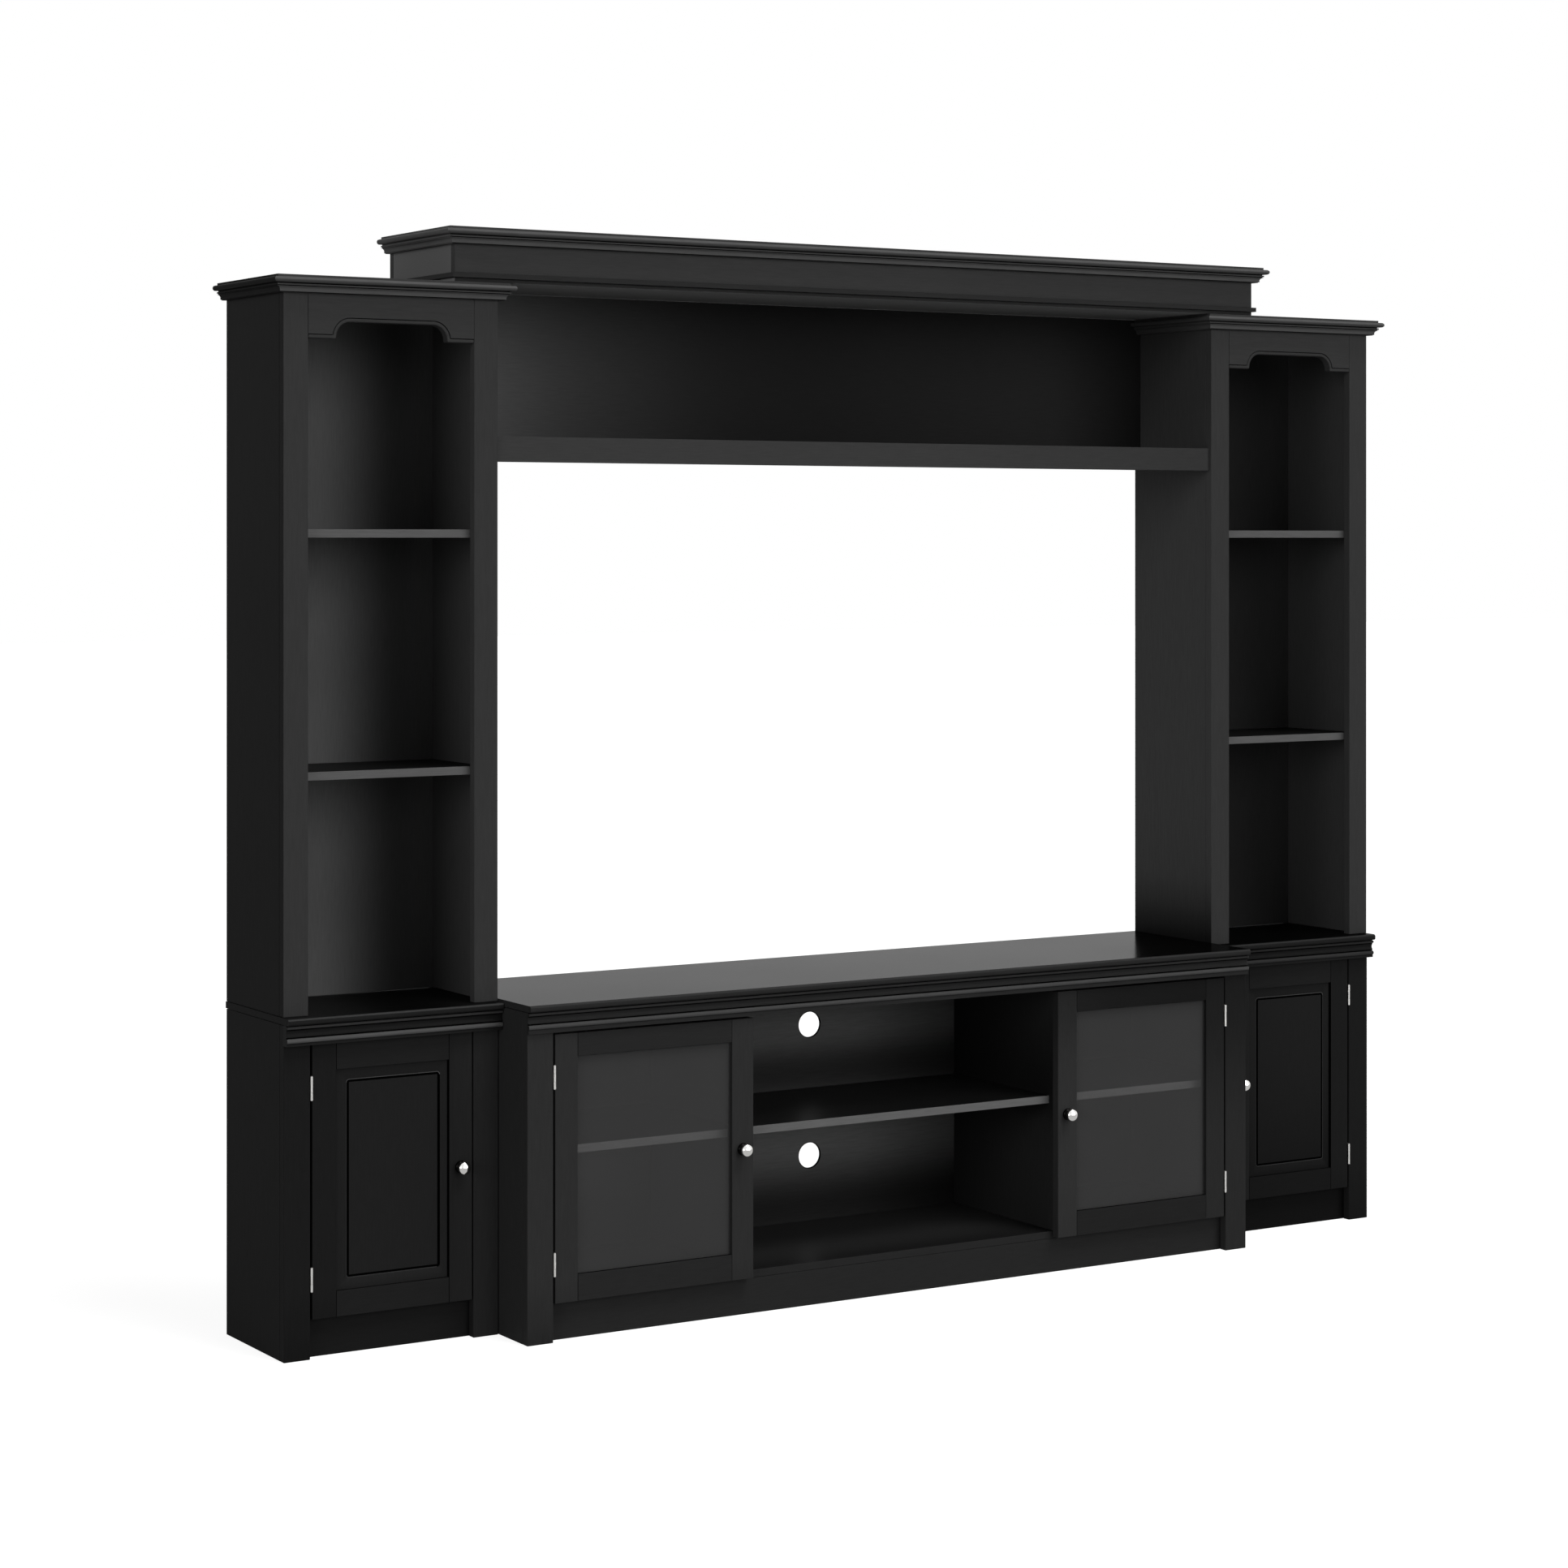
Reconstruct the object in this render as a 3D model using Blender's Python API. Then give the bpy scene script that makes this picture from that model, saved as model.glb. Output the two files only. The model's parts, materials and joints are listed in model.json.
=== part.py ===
"""Black painted wall unit: a low media console between two pier cabinets,
a bookcase tower on each pier, and a cornice bridge that joins the towers.

Metres, +Z up, +Y towards the wall, +X to the right seen from the front.
The origin is on the floor, under the middle of the unit.
"""

import math
from collections import namedtuple

import bmesh
import bpy
from mathutils import Matrix, Vector

# Clearances between pieces
FIT = 0.0003
CONSOLE_SIDE_CLEAR = 0.0005
DOOR_SIDE_GAP = 0.0025
CONSOLE_DOOR_HEAD_GAP = 0.0047
PIER_DOOR_HEAD_GAP = 0.0022
DOOR_BACK_CLEAR = 0.0015
DOOR_BAY_REVEAL = 0.0005
HINGE_GAP = 0.004

# Stock thicknesses
BOARD = 0.015
FRAME_THICK = 0.018
BACK_THICK = 0.004
GLASS_THICK = 0.004
JOINT_GROOVE = 0.0006
GLUE_LAP = 0.002
CUT_OVERRUN = 0.003

# Overall layout
CLEAR_SPAN = 1.650
PIER_WIDTH = 0.421
CONSOLE_DEPTH = 0.373
PIER_DEPTH = 0.261
TOWER_DEPTH = 0.259
CORNICE_DEPTH = 0.274
CONSOLE_HEIGHT = 0.6115
PIER_TOP_DROP = 0.005
TOWER_HEIGHT = 1.3065
CORNICE_HEIGHT = 0.0986
CORNICE_LENGTH = 1.839

# Tops and their front moulding
TOP_THICK = 0.013
TOP_NOSE_REACH = 0.025
TOP_NOSE_UPPER_RADIUS = 0.005
TOP_NOSE_LOWER_RADIUS = 0.004
CONSOLE_TOP_OVERHANG = 0.001
CONSOLE_TOP_SETBACK = 0.010
PIER_TOP_OVERHANG = 0.0015
CONSOLE_MOULDING_HEIGHT = 0.0385
PIER_MOULDING_HEIGHT = 0.036
MOULDING_NECK_REACH = 0.0155
MOULDING_NECK_HEIGHT = 0.002
MOULDING_BEAD_REACH = 0.0195
MOULDING_UPPER_BEAD_HEIGHT = 0.0065
MOULDING_COVE_REACH = 0.013
MOULDING_COVE_EDGE_REACH = 0.0172
MOULDING_LOWER_BEAD_HEIGHT = 0.0065
MOULDING_FOOT_REACH = 0.016
MOULDING_FOOT_HEIGHT = 0.0035

# Console carcass
CONSOLE_STILE_WIDTH = 0.0525
CONSOLE_BAY_WIDTH = 0.702
PLINTH_HEIGHT = 0.066
CONSOLE_SHELF_RISE = 0.266
CONSOLE_SHELF_SETBACK = 0.011
CONSOLE_BACK_INSET = 0.005
CABLE_HOLE_DIAMETER = 0.053
CABLE_HOLE_SIDES = 32
CABLE_HOLE_RISE_OVER_SHELF = 0.1265
CABLE_HOLE_RISE_OVER_DECK = 0.130

# Pier carcass
PIER_STILE_WIDTH = 0.0505
PIER_BACK_INSET = 0.005

# Doors
DOOR_DECK_LAP = 0.011
DOOR_STILE_WIDTH = 0.046
DOOR_TOP_RAIL_HEIGHT = 0.047
GLASS_DOOR_BOTTOM_RAIL_HEIGHT = 0.051
PANEL_DOOR_BOTTOM_RAIL_HEIGHT = 0.046
SLOT_DEPTH = 0.008
GLASS_LIP_THICK = 0.007
PANEL_LIP_THICK = 0.005
PANEL_THICK = 0.009
PANEL_BORDER_WIDTH = 0.0195
PANEL_EDGE_RADIUS = 0.001
GROOVE_WIDTH = 0.0035
GROOVE_DEPTH = 0.003
GROOVE_CORNER_RADIUS = 0.006
GROOVE_CORNER_STEPS = 3

# Hardware
HINGE_LENGTH = 0.0425
HINGE_UPPER_INSET = 0.0765
HINGE_LOWER_INSET = 0.071
HINGE_PROUD = 0.0018
KNUCKLE_RADIUS = 0.0024
KNUCKLE_GAP = 0.0003
KNUCKLE_STEPS = 10
PIN_SIDES = 8
PIN_RADIUS = 0.0011
PIN_BORE_RADIUS = 0.0014
PIN_OVERRUN = 0.0006
LEAF_THICK = 0.0012
LEAF_DEPTH = 0.013
LEAF_START = 0.0012
MIDDLE_KNUCKLE_SHARE = 0.36
KNOB_HEAD_DIAMETER = 0.025
KNOB_REACH = 0.024
KNOB_HEAD_THICK = 0.0095
KNOB_UNDERSIDE_THICK = 0.004
KNOB_FOOT_DIAMETER = 0.014
KNOB_FOOT_THICK = 0.002
KNOB_STEM_DIAMETER = 0.0095
KNOB_SIDES = 20
KNOB_ARC_STEPS = 4

# Towers
TOWER_STILE_WIDTH = 0.0475
TOWER_UPPER_SHELF_RISE = 0.859
TOWER_LOWER_SHELF_RISE = 0.4285
TOWER_SHELF_SETBACK = 0.001
TOWER_BACK_INSET = 0.016
ARCH_DROP = 0.110
ARCH_RISE = 0.0305
ARCH_FLAT_WIDTH = 0.054
ARCH_STEPS = 8
ARCH_CORNER_RADIUS = 0.003
ARCH_CORNER_STEPS = 3

# Crown moulding of the towers and the cornice
CROWN_HEIGHT = 0.027
CROWN_LIP_REACH = 0.0185
CROWN_LIP_HEIGHT = 0.0025
CROWN_NOSE_REACH = 0.027
CROWN_NOSE_HEIGHT = 0.0115
CROWN_NECK_REACH = 0.019
CROWN_NECK_HEIGHT = 0.002
CROWN_COVE_HEIGHT = 0.0085
CROWN_FOOT_REACH = 0.011
MOULDING_ARC_STEPS = 6

# Cornice and bridge
SOFFIT_THICK = 0.0135
SOFFIT_OVERHANG = 0.007
BRIDGE_SHELF_RISE = 1.029
APRON_HEIGHT = 0.0465
APRON_SETBACK = 0.006

# Finishes
PAINT_COLOUR = (0.028, 0.028, 0.028)
PAINT_ROUGHNESS = 0.45
GLASS_COLOUR = (0.75, 0.78, 0.78)
GLASS_ROUGHNESS = 0.05
GLASS_ALPHA = 0.3
CHROME_COLOUR = (0.78, 0.77, 0.75)
CHROME_ROUGHNESS = 0.08
STEEL_COLOUR = (0.62, 0.61, 0.59)
STEEL_ROUGHNESS = 0.25
SMOOTH_ANGLE_DEGREES = 35

# Places that follow from the sizes above
CONSOLE_REACH = max(KNOB_REACH, TOP_NOSE_REACH - CONSOLE_TOP_SETBACK)
BACK = (CONSOLE_DEPTH + CONSOLE_REACH) / 2
SPAN_HALF = CLEAR_SPAN / 2
CONSOLE_FRONT = BACK - CONSOLE_DEPTH
PIER_FRONT = BACK - PIER_DEPTH
TOWER_FRONT = BACK - TOWER_DEPTH
CORNICE_FRONT = BACK - CORNICE_DEPTH
CONSOLE_TOP_HALF = SPAN_HALF - CONSOLE_SIDE_CLEAR
CONSOLE_HALF = CONSOLE_TOP_HALF - CONSOLE_TOP_OVERHANG
CONSOLE_BAY_HALF = CONSOLE_BAY_WIDTH / 2
PIER_INNER = SPAN_HALF
PIER_OUTER = PIER_INNER + PIER_WIDTH
DECK_TOP = PLINTH_HEIGHT + BOARD
CONSOLE_SHELF_LEVEL = DECK_TOP + CONSOLE_SHELF_RISE
DOOR_BOTTOM = DECK_TOP - DOOR_DECK_LAP
PIER_HEIGHT = CONSOLE_HEIGHT - PIER_TOP_DROP
CONSOLE_DOOR_TOP = CONSOLE_HEIGHT - TOP_THICK - CONSOLE_MOULDING_HEIGHT - CONSOLE_DOOR_HEAD_GAP
PIER_DOOR_TOP = PIER_HEIGHT - TOP_THICK - PIER_MOULDING_HEIGHT - PIER_DOOR_HEAD_GAP
TOWER_TOP = PIER_HEIGHT + TOWER_HEIGHT
CORNICE_TOP = TOWER_TOP + CORNICE_HEIGHT
TOWER_BOARD_BOTTOM = TOWER_TOP - BOARD
ARCH_LOW_LEVEL = TOWER_TOP - ARCH_DROP
BRIDGE_SHELF_LEVEL = PIER_HEIGHT + BRIDGE_SHELF_RISE
CORNICE_HALF = CORNICE_LENGTH / 2
BRIDGE_BACK_FACE = BACK - TOWER_BACK_INSET - BACK_THICK
HINGE_FAR = HINGE_GAP / 2 - FIT
HINGE_NEAR = HINGE_FAR - LEAF_THICK
SIDES = (("left", -1), ("right", 1))

# A door hangs on its outer edge; free_edge and hinge_edge are distances from
# the middle of the unit
Door = namedtuple("Door", "name glazed side free_edge hinge_edge front top bottom_rail lip filling")


def clear_scene():
    """Take everything out of the scene."""
    for old in list(bpy.data.objects):
        bpy.data.objects.remove(old, do_unlink=True)


def make_material(name, colour, roughness, metallic=0.0, alpha=1.0):
    """A Principled material of one colour."""
    material = bpy.data.materials.new(name)
    material.use_nodes = True
    shader = material.node_tree.nodes["Principled BSDF"]
    shader.inputs["Base Color"].default_value = (*colour, 1.0)
    shader.inputs["Roughness"].default_value = roughness
    shader.inputs["Metallic"].default_value = metallic
    shader.inputs["Alpha"].default_value = alpha
    return material


def ordered(side, near, far):
    """The X range between two distances from the middle, on one side."""
    return tuple(sorted((side * near, side * far)))


def add_block(bm, x_range, y_range, z_range):
    """A rectangular board."""
    low = Vector((x_range[0], y_range[0], z_range[0]))
    high = Vector((x_range[1], y_range[1], z_range[1]))
    size = high - low
    place = Matrix.Translation((low + high) / 2) @ Matrix.Diagonal((*size, 1.0))
    bmesh.ops.create_cube(bm, size=1.0, matrix=place)


def add_prism(bm, outline, along, start, end):
    """Extrude a flat outline along one axis.

    The outline holds pairs for the two other axes, in X, Y, Z order.
    """
    def place(point, length):
        spot = list(point)
        spot.insert("XYZ".index(along), length)
        return spot

    first = [bm.verts.new(place(point, start)) for point in outline]
    last = [bm.verts.new(place(point, end)) for point in outline]
    cap_a = bm.faces.new(first)
    cap_b = bm.faces.new(last)
    bmesh.ops.bridge_loops(bm, edges=list(cap_a.edges) + list(cap_b.edges))


def add_turned(bm, profile, centre, along, sides):
    """Spin a profile of (distance along the axis, radius) round an axis."""
    frames = {
        "X": (Vector((1, 0, 0)), Vector((0, 1, 0))),
        "Y": (Vector((0, 1, 0)), Vector((0, 0, 1))),
        "Z": (Vector((0, 0, 1)), Vector((1, 0, 0))),
    }
    axis, out = frames[along]
    across = axis.cross(out)
    rings = []
    for length, radius in profile:
        if radius == 0:
            rings.append([bm.verts.new(centre + axis * length)])
            continue
        ring = []
        for index in range(sides):
            turn = 2 * math.pi * index / sides
            arm = out * math.cos(turn) + across * math.sin(turn)
            ring.append(bm.verts.new(centre + axis * length + arm * radius))
        rings.append(ring)
    for ring, after in zip(rings, rings[1:]):
        for index in range(sides):
            follow = (index + 1) % sides
            if len(ring) == 1:
                bm.faces.new((ring[0], after[index], after[follow]))
            elif len(after) == 1:
                bm.faces.new((ring[follow], ring[index], after[0]))
            else:
                bm.faces.new((ring[index], after[index], after[follow], ring[follow]))
    for ring in (rings[0], rings[-1]):
        if len(ring) > 1:
            bm.faces.new(ring)


def make_object(name, build, material=None, smooth=False):
    """One named object from a function that fills a bmesh."""
    bm = bmesh.new()
    build(bm)
    bmesh.ops.recalc_face_normals(bm, faces=bm.faces)
    mesh = bpy.data.meshes.new(name)
    bm.to_mesh(mesh)
    bm.free()
    if smooth:
        mesh.shade_smooth()
        mesh.set_sharp_from_angle(angle=math.radians(SMOOTH_ANGLE_DEGREES))
    piece = bpy.data.objects.new(name, mesh)
    bpy.context.scene.collection.objects.link(piece)
    if material:
        mesh.materials.append(material)
    return piece


def make_board(name, x_range, y_range, z_range, material):
    """A rectangular board as a piece of its own."""
    return make_object(name, lambda bm: add_block(bm, x_range, y_range, z_range), material)


def add_boolean(piece, name, operation, build):
    """Cut or join a piece with a hidden helper shape."""
    helper = make_object(name, build)
    helper.hide_render = True
    helper.display_type = "WIRE"
    modifier = piece.modifiers.new(name, "BOOLEAN")
    modifier.operation = operation
    modifier.solver = "EXACT"
    modifier.object = helper


def make_axis(name, spot):
    """An empty on a hinge axis, which carries a door."""
    empty = bpy.data.objects.new(name, None)
    empty.location = spot
    bpy.context.scene.collection.objects.link(empty)
    return empty


def hang_on(axis, pieces):
    """Parent pieces to an axis without moving them."""
    for piece in pieces:
        piece.parent = axis
        piece.matrix_parent_inverse = Matrix.Translation(-axis.location)


def arc(centre, radii, start_degrees, end_degrees, steps):
    """Points on an elliptical arc, both ends included."""
    points = []
    for index in range(steps + 1):
        share = index / steps
        turn = math.radians(start_degrees + (end_degrees - start_degrees) * share)
        points.append((centre[0] + radii[0] * math.cos(turn), centre[1] + radii[1] * math.sin(turn)))
    return points


def top_outline(front, setback, height, moulding_height):
    """Side view (Y, Z) of a top with a rounded nose and the moulding under it."""
    low = height - TOP_THICK
    nose = front + setback - TOP_NOSE_REACH
    upper = TOP_NOSE_UPPER_RADIUS
    lower = TOP_NOSE_LOWER_RADIUS
    points = [(front - FIT, low), (BACK, low), (BACK, height)]
    points += arc((nose + upper, height - upper), (upper, upper), 90, 180, MOULDING_ARC_STEPS)
    points += arc((nose + lower, low + lower), (lower, lower), 180, 270, MOULDING_ARC_STEPS)
    bottom = low - moulding_height
    face = moulding_face(low, bottom)
    return points + [(front + setback - reach, level) for reach, level in face] + [(front - FIT, bottom)]


def moulding_face(top, bottom):
    """Reach and level down the moulding: neck, bead, cove, bead and foot."""
    edge = MOULDING_COVE_EDGE_REACH
    bead = MOULDING_BEAD_REACH - edge
    upper_top = top - MOULDING_NECK_HEIGHT
    upper_low = upper_top - MOULDING_UPPER_BEAD_HEIGHT
    lower_low = bottom + MOULDING_FOOT_HEIGHT
    lower_top = lower_low + MOULDING_LOWER_BEAD_HEIGHT
    cove = (upper_low - lower_top) / 2
    face = [(MOULDING_NECK_REACH, top), (MOULDING_NECK_REACH, upper_top)]
    face += arc((edge, (upper_top + upper_low) / 2), (bead, MOULDING_UPPER_BEAD_HEIGHT / 2),
                90, -90, MOULDING_ARC_STEPS)
    face += arc((edge, upper_low - cove), (edge - MOULDING_COVE_REACH, cove),
                90, 270, 2 * MOULDING_ARC_STEPS)[1:-1]
    face += arc((edge, (lower_top + lower_low) / 2), (bead, MOULDING_LOWER_BEAD_HEIGHT / 2),
                90, -90, MOULDING_ARC_STEPS)
    return face + [(MOULDING_FOOT_REACH, lower_low), (MOULDING_FOOT_REACH, bottom)]


def make_top(name, x_range, rail_x_range, front, height, moulding_height, material, setback=0):
    """A top with the moulding and the rail that are glued under its front edge.

    setback is how much less the nose and the moulding reach over the front.
    """
    outline = top_outline(front, setback, height, moulding_height)
    top = make_object(name, lambda bm: add_prism(bm, outline, "X", *x_range), material, smooth=True)
    rail_y = (front - FIT - GLUE_LAP, front + FRAME_THICK)
    rail_z = (height - TOP_THICK - moulding_height + GLUE_LAP, height - TOP_THICK + GLUE_LAP)
    add_boolean(top, f"{name}_rail", "UNION", lambda bm: add_block(bm, rail_x_range, rail_y, rail_z))
    return top


def make_side(name, face, inward, stile_width, front, z_range, material):
    """A side panel with the front stile that is glued to it.

    face is the X of its outer face, and inward is the way to its inner face.
    A fine groove marks the joint on the outer face.
    """
    stile = face + inward * stile_width
    panel = face + inward * BOARD
    joint = front + FRAME_THICK
    outline = [(face, front), (stile, front), (stile, joint), (panel, joint), (panel, BACK), (face, BACK)]
    outline += [(face, joint + JOINT_GROOVE), (face + inward * JOINT_GROOVE, joint),
                (face, joint - JOINT_GROOVE)]
    return make_object(name, lambda bm: add_prism(bm, outline, "Z", *z_range), material)


def make_base(name, x_range, front, back, material):
    """A deck with the plinth rail that is glued under its front edge."""
    outline = [(front, 0), (front + BOARD, 0), (front + BOARD, PLINTH_HEIGHT),
               (back, PLINTH_HEIGHT), (back, DECK_TOP), (front, DECK_TOP)]
    return make_object(name, lambda bm: add_prism(bm, outline, "X", *x_range), material)


def crown_face(top):
    """Reach and level down the crown: lip, nose, neck, cove and foot."""
    nose_radius = CROWN_NOSE_HEIGHT / 2
    lip_low = top - CROWN_LIP_HEIGHT
    nose_low = lip_low - CROWN_NOSE_HEIGHT
    foot_top = nose_low - CROWN_NECK_HEIGHT - CROWN_COVE_HEIGHT
    points = [(CROWN_LIP_REACH, top), (CROWN_LIP_REACH, lip_low)]
    points += arc((CROWN_NOSE_REACH - nose_radius, lip_low - nose_radius), (nose_radius, nose_radius),
                  90, -90, MOULDING_ARC_STEPS)
    points += [(CROWN_NECK_REACH, nose_low)]
    points += arc((CROWN_NECK_REACH, foot_top), (CROWN_NECK_REACH - CROWN_FOOT_REACH, CROWN_COVE_HEIGHT),
                  90, 180, MOULDING_ARC_STEPS)
    return points + [(CROWN_FOOT_REACH, top - CROWN_HEIGHT)]


def add_crown(bm, outline, x_range, front, return_backs):
    """Run a crown's outline along a front and back down both returns, mitred."""
    left, right = x_range
    stations = ((left, return_backs[0], -1, 0), (left, front, -1, -1),
                (right, front, 1, -1), (right, return_backs[1], 1, 0))
    rings = [[bm.verts.new((x + reach * out_x, y + reach * out_y, level)) for reach, level in outline]
             for x, y, out_x, out_y in stations]
    for near, far in zip(rings, rings[1:]):
        for index in range(len(outline)):
            follow = (index + 1) % len(outline)
            bm.faces.new((near[index], near[follow], far[follow], far[index]))
    bm.faces.new(rings[0])
    bm.faces.new(rings[-1])


def make_console(paint):
    """The low console: sides, base, partitions, shelves, top and back."""
    under_top = CONSOLE_HEIGHT - TOP_THICK - FIT
    inner_front = CONSOLE_FRONT + FRAME_THICK + DOOR_BACK_CLEAR
    back_face = BACK - CONSOLE_BACK_INSET - BACK_THICK
    inner_depth = (inner_front, back_face - FIT)
    side_inner = CONSOLE_HALF - BOARD
    full = (-side_inner + FIT, side_inner - FIT)
    rail = CONSOLE_HALF - CONSOLE_STILE_WIDTH - FIT
    make_top("console_top", (-CONSOLE_TOP_HALF, CONSOLE_TOP_HALF), (-rail, rail), CONSOLE_FRONT,
             CONSOLE_HEIGHT, CONSOLE_MOULDING_HEIGHT, paint, CONSOLE_TOP_SETBACK)
    make_base("console_base", full, *inner_depth, paint)

    bay_outer = CONSOLE_BAY_HALF + BOARD
    shelf_depth = (inner_front + CONSOLE_SHELF_SETBACK, back_face - FIT)
    shelf_height = (CONSOLE_SHELF_LEVEL - BOARD, CONSOLE_SHELF_LEVEL)
    for label, side in SIDES:
        make_side(f"console_side_{label}", side * CONSOLE_HALF, -side, CONSOLE_STILE_WIDTH, CONSOLE_FRONT,
                  (0, under_top), paint)
        make_board(f"console_partition_{label}", ordered(side, CONSOLE_BAY_HALF, bay_outer), inner_depth,
                   (DECK_TOP + FIT, under_top), paint)
        make_board(f"console_side_shelf_{label}", ordered(side, bay_outer + FIT, side_inner - FIT),
                   shelf_depth, shelf_height, paint)
    make_board("console_centre_shelf", (-CONSOLE_BAY_HALF + FIT, CONSOLE_BAY_HALF - FIT),
               shelf_depth, shelf_height, paint)

    back = make_board("console_back_panel", full, (back_face, back_face + BACK_THICK),
                      (PLINTH_HEIGHT, under_top), paint)

    def cable_holes(bm):
        radius = CABLE_HOLE_DIAMETER / 2
        profile = [(-CUT_OVERRUN, radius), (BACK_THICK + CUT_OVERRUN, radius)]
        upper = CONSOLE_SHELF_LEVEL + CABLE_HOLE_RISE_OVER_SHELF
        lower = DECK_TOP + CABLE_HOLE_RISE_OVER_DECK
        for level in (upper, lower):
            add_turned(bm, profile, Vector((0, back_face, level)), "Y", CABLE_HOLE_SIDES)

    add_boolean(back, "cable_hole_cutter", "DIFFERENCE", cable_holes)


def make_pier(label, side, paint):
    """A pier cabinet: sides, base, top and back."""
    name = f"pier_{label}"
    under_top = PIER_HEIGHT - TOP_THICK - FIT
    inner_front = PIER_FRONT + FRAME_THICK + DOOR_BACK_CLEAR
    back_face = BACK - PIER_BACK_INSET - BACK_THICK
    rail = (PIER_INNER + PIER_STILE_WIDTH + FIT, PIER_OUTER - PIER_STILE_WIDTH - FIT)
    make_top(f"{name}_top", ordered(side, PIER_INNER + FIT, PIER_OUTER + PIER_TOP_OVERHANG),
             ordered(side, *rail), PIER_FRONT, PIER_HEIGHT, PIER_MOULDING_HEIGHT, paint)
    for which, face, inward in (("inner", PIER_INNER, side), ("outer", PIER_OUTER, -side)):
        make_side(f"{name}_{which}_side", side * face, inward, PIER_STILE_WIDTH, PIER_FRONT,
                  (0, under_top), paint)
    snug = ordered(side, PIER_INNER + BOARD + FIT, PIER_OUTER - BOARD - FIT)
    make_base(f"{name}_base", snug, inner_front, back_face - FIT, paint)
    make_board(f"{name}_back_panel", snug, (back_face, back_face + BACK_THICK),
               (PLINTH_HEIGHT, under_top), paint)


def arch_outline(left, right, top):
    """Front view (X, Z) of a tower's top rail, with its raised middle."""
    low = ARCH_LOW_LEVEL
    corner = ARCH_CORNER_RADIUS
    rise = ARCH_RISE - corner
    foot = left + ARCH_FLAT_WIDTH
    half = arc((foot - corner, low + corner), (corner, corner), -90, 0, ARCH_CORNER_STEPS)
    half += arc((foot + rise, low + corner), (rise, rise), 180, 90, ARCH_STEPS)[1:]
    other = [(left + right - x, z) for x, z in reversed(half)]
    return [(left, top), (left, low)] + half + other + [(right, low), (right, top)]


def make_tower(label, side, paint):
    """A bookcase tower: sides, arched rail, shelves, back and cap."""
    name = f"tower_{label}"
    z_range = (PIER_HEIGHT + FIT, TOWER_BOARD_BOTTOM - FIT)
    for which, face, inward in (("inner", PIER_INNER, side), ("outer", PIER_OUTER, -side)):
        make_side(f"{name}_{which}_side", side * face, inward, TOWER_STILE_WIDTH, TOWER_FRONT,
                  z_range, paint)

    opening = ordered(side, PIER_INNER + TOWER_STILE_WIDTH + FIT, PIER_OUTER - TOWER_STILE_WIDTH - FIT)
    rail = arch_outline(*opening, z_range[1])
    rail_depth = (TOWER_FRONT, TOWER_FRONT + FRAME_THICK)
    make_object(f"{name}_arched_rail", lambda bm: add_prism(bm, rail, "Y", *rail_depth), paint, smooth=True)

    snug = ordered(side, PIER_INNER + BOARD + FIT, PIER_OUTER - BOARD - FIT)
    shelf_depth = (TOWER_FRONT + FRAME_THICK + TOWER_SHELF_SETBACK, BRIDGE_BACK_FACE - FIT)
    for which, rise in (("upper", TOWER_UPPER_SHELF_RISE), ("lower", TOWER_LOWER_SHELF_RISE)):
        level = PIER_HEIGHT + rise
        make_board(f"{name}_{which}_shelf", snug, shelf_depth, (level - BOARD, level), paint)
    back_depth = (BRIDGE_BACK_FACE, BRIDGE_BACK_FACE + BACK_THICK)
    make_board(f"{name}_back_panel", snug, back_depth, z_range, paint)

    cap_range = ordered(side, PIER_INNER, PIER_OUTER)
    bottom = TOWER_TOP - CROWN_HEIGHT
    outline = [(FIT, bottom), (FIT, TOWER_BOARD_BOTTOM), (-GLUE_LAP, TOWER_BOARD_BOTTOM),
               (-GLUE_LAP, TOWER_TOP)] + crown_face(TOWER_TOP)
    inner_back = BRIDGE_BACK_FACE - FIT
    backs = (BACK, inner_back) if side < 0 else (inner_back, BACK)
    cap = make_board(f"{name}_cap", cap_range, (TOWER_FRONT, BACK), (TOWER_BOARD_BOTTOM, TOWER_TOP), paint)
    add_boolean(cap, f"{name}_crown", "UNION",
                lambda bm: add_crown(bm, outline, cap_range, TOWER_FRONT, backs))


def make_cornice(paint):
    """The cornice across the towers: soffit board, box and crown."""
    soffit_half = CORNICE_HALF + SOFFIT_OVERHANG
    soffit_top = TOWER_TOP + FIT + SOFFIT_THICK
    make_board("cornice_soffit_board", (-soffit_half, soffit_half), (CORNICE_FRONT - SOFFIT_OVERHANG, BACK),
               (TOWER_TOP + FIT, soffit_top), paint)

    full = (-CORNICE_HALF, CORNICE_HALF)
    box = make_board("cornice_box", full, (CORNICE_FRONT, BACK), (soffit_top + FIT, CORNICE_TOP), paint)
    hollow = ((BOARD - CORNICE_HALF, CORNICE_HALF - BOARD), (CORNICE_FRONT + BOARD, BACK - BOARD),
              (soffit_top - CUT_OVERRUN, CORNICE_TOP - BOARD))
    add_boolean(box, "cornice_hollow_cutter", "DIFFERENCE", lambda bm: add_block(bm, *hollow))

    outline = [(FIT, CORNICE_TOP - CROWN_HEIGHT), (FIT, CORNICE_TOP)] + crown_face(CORNICE_TOP)
    make_object("cornice_crown", lambda bm: add_crown(bm, outline, full, CORNICE_FRONT, (BACK, BACK)),
                paint, smooth=True)


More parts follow.
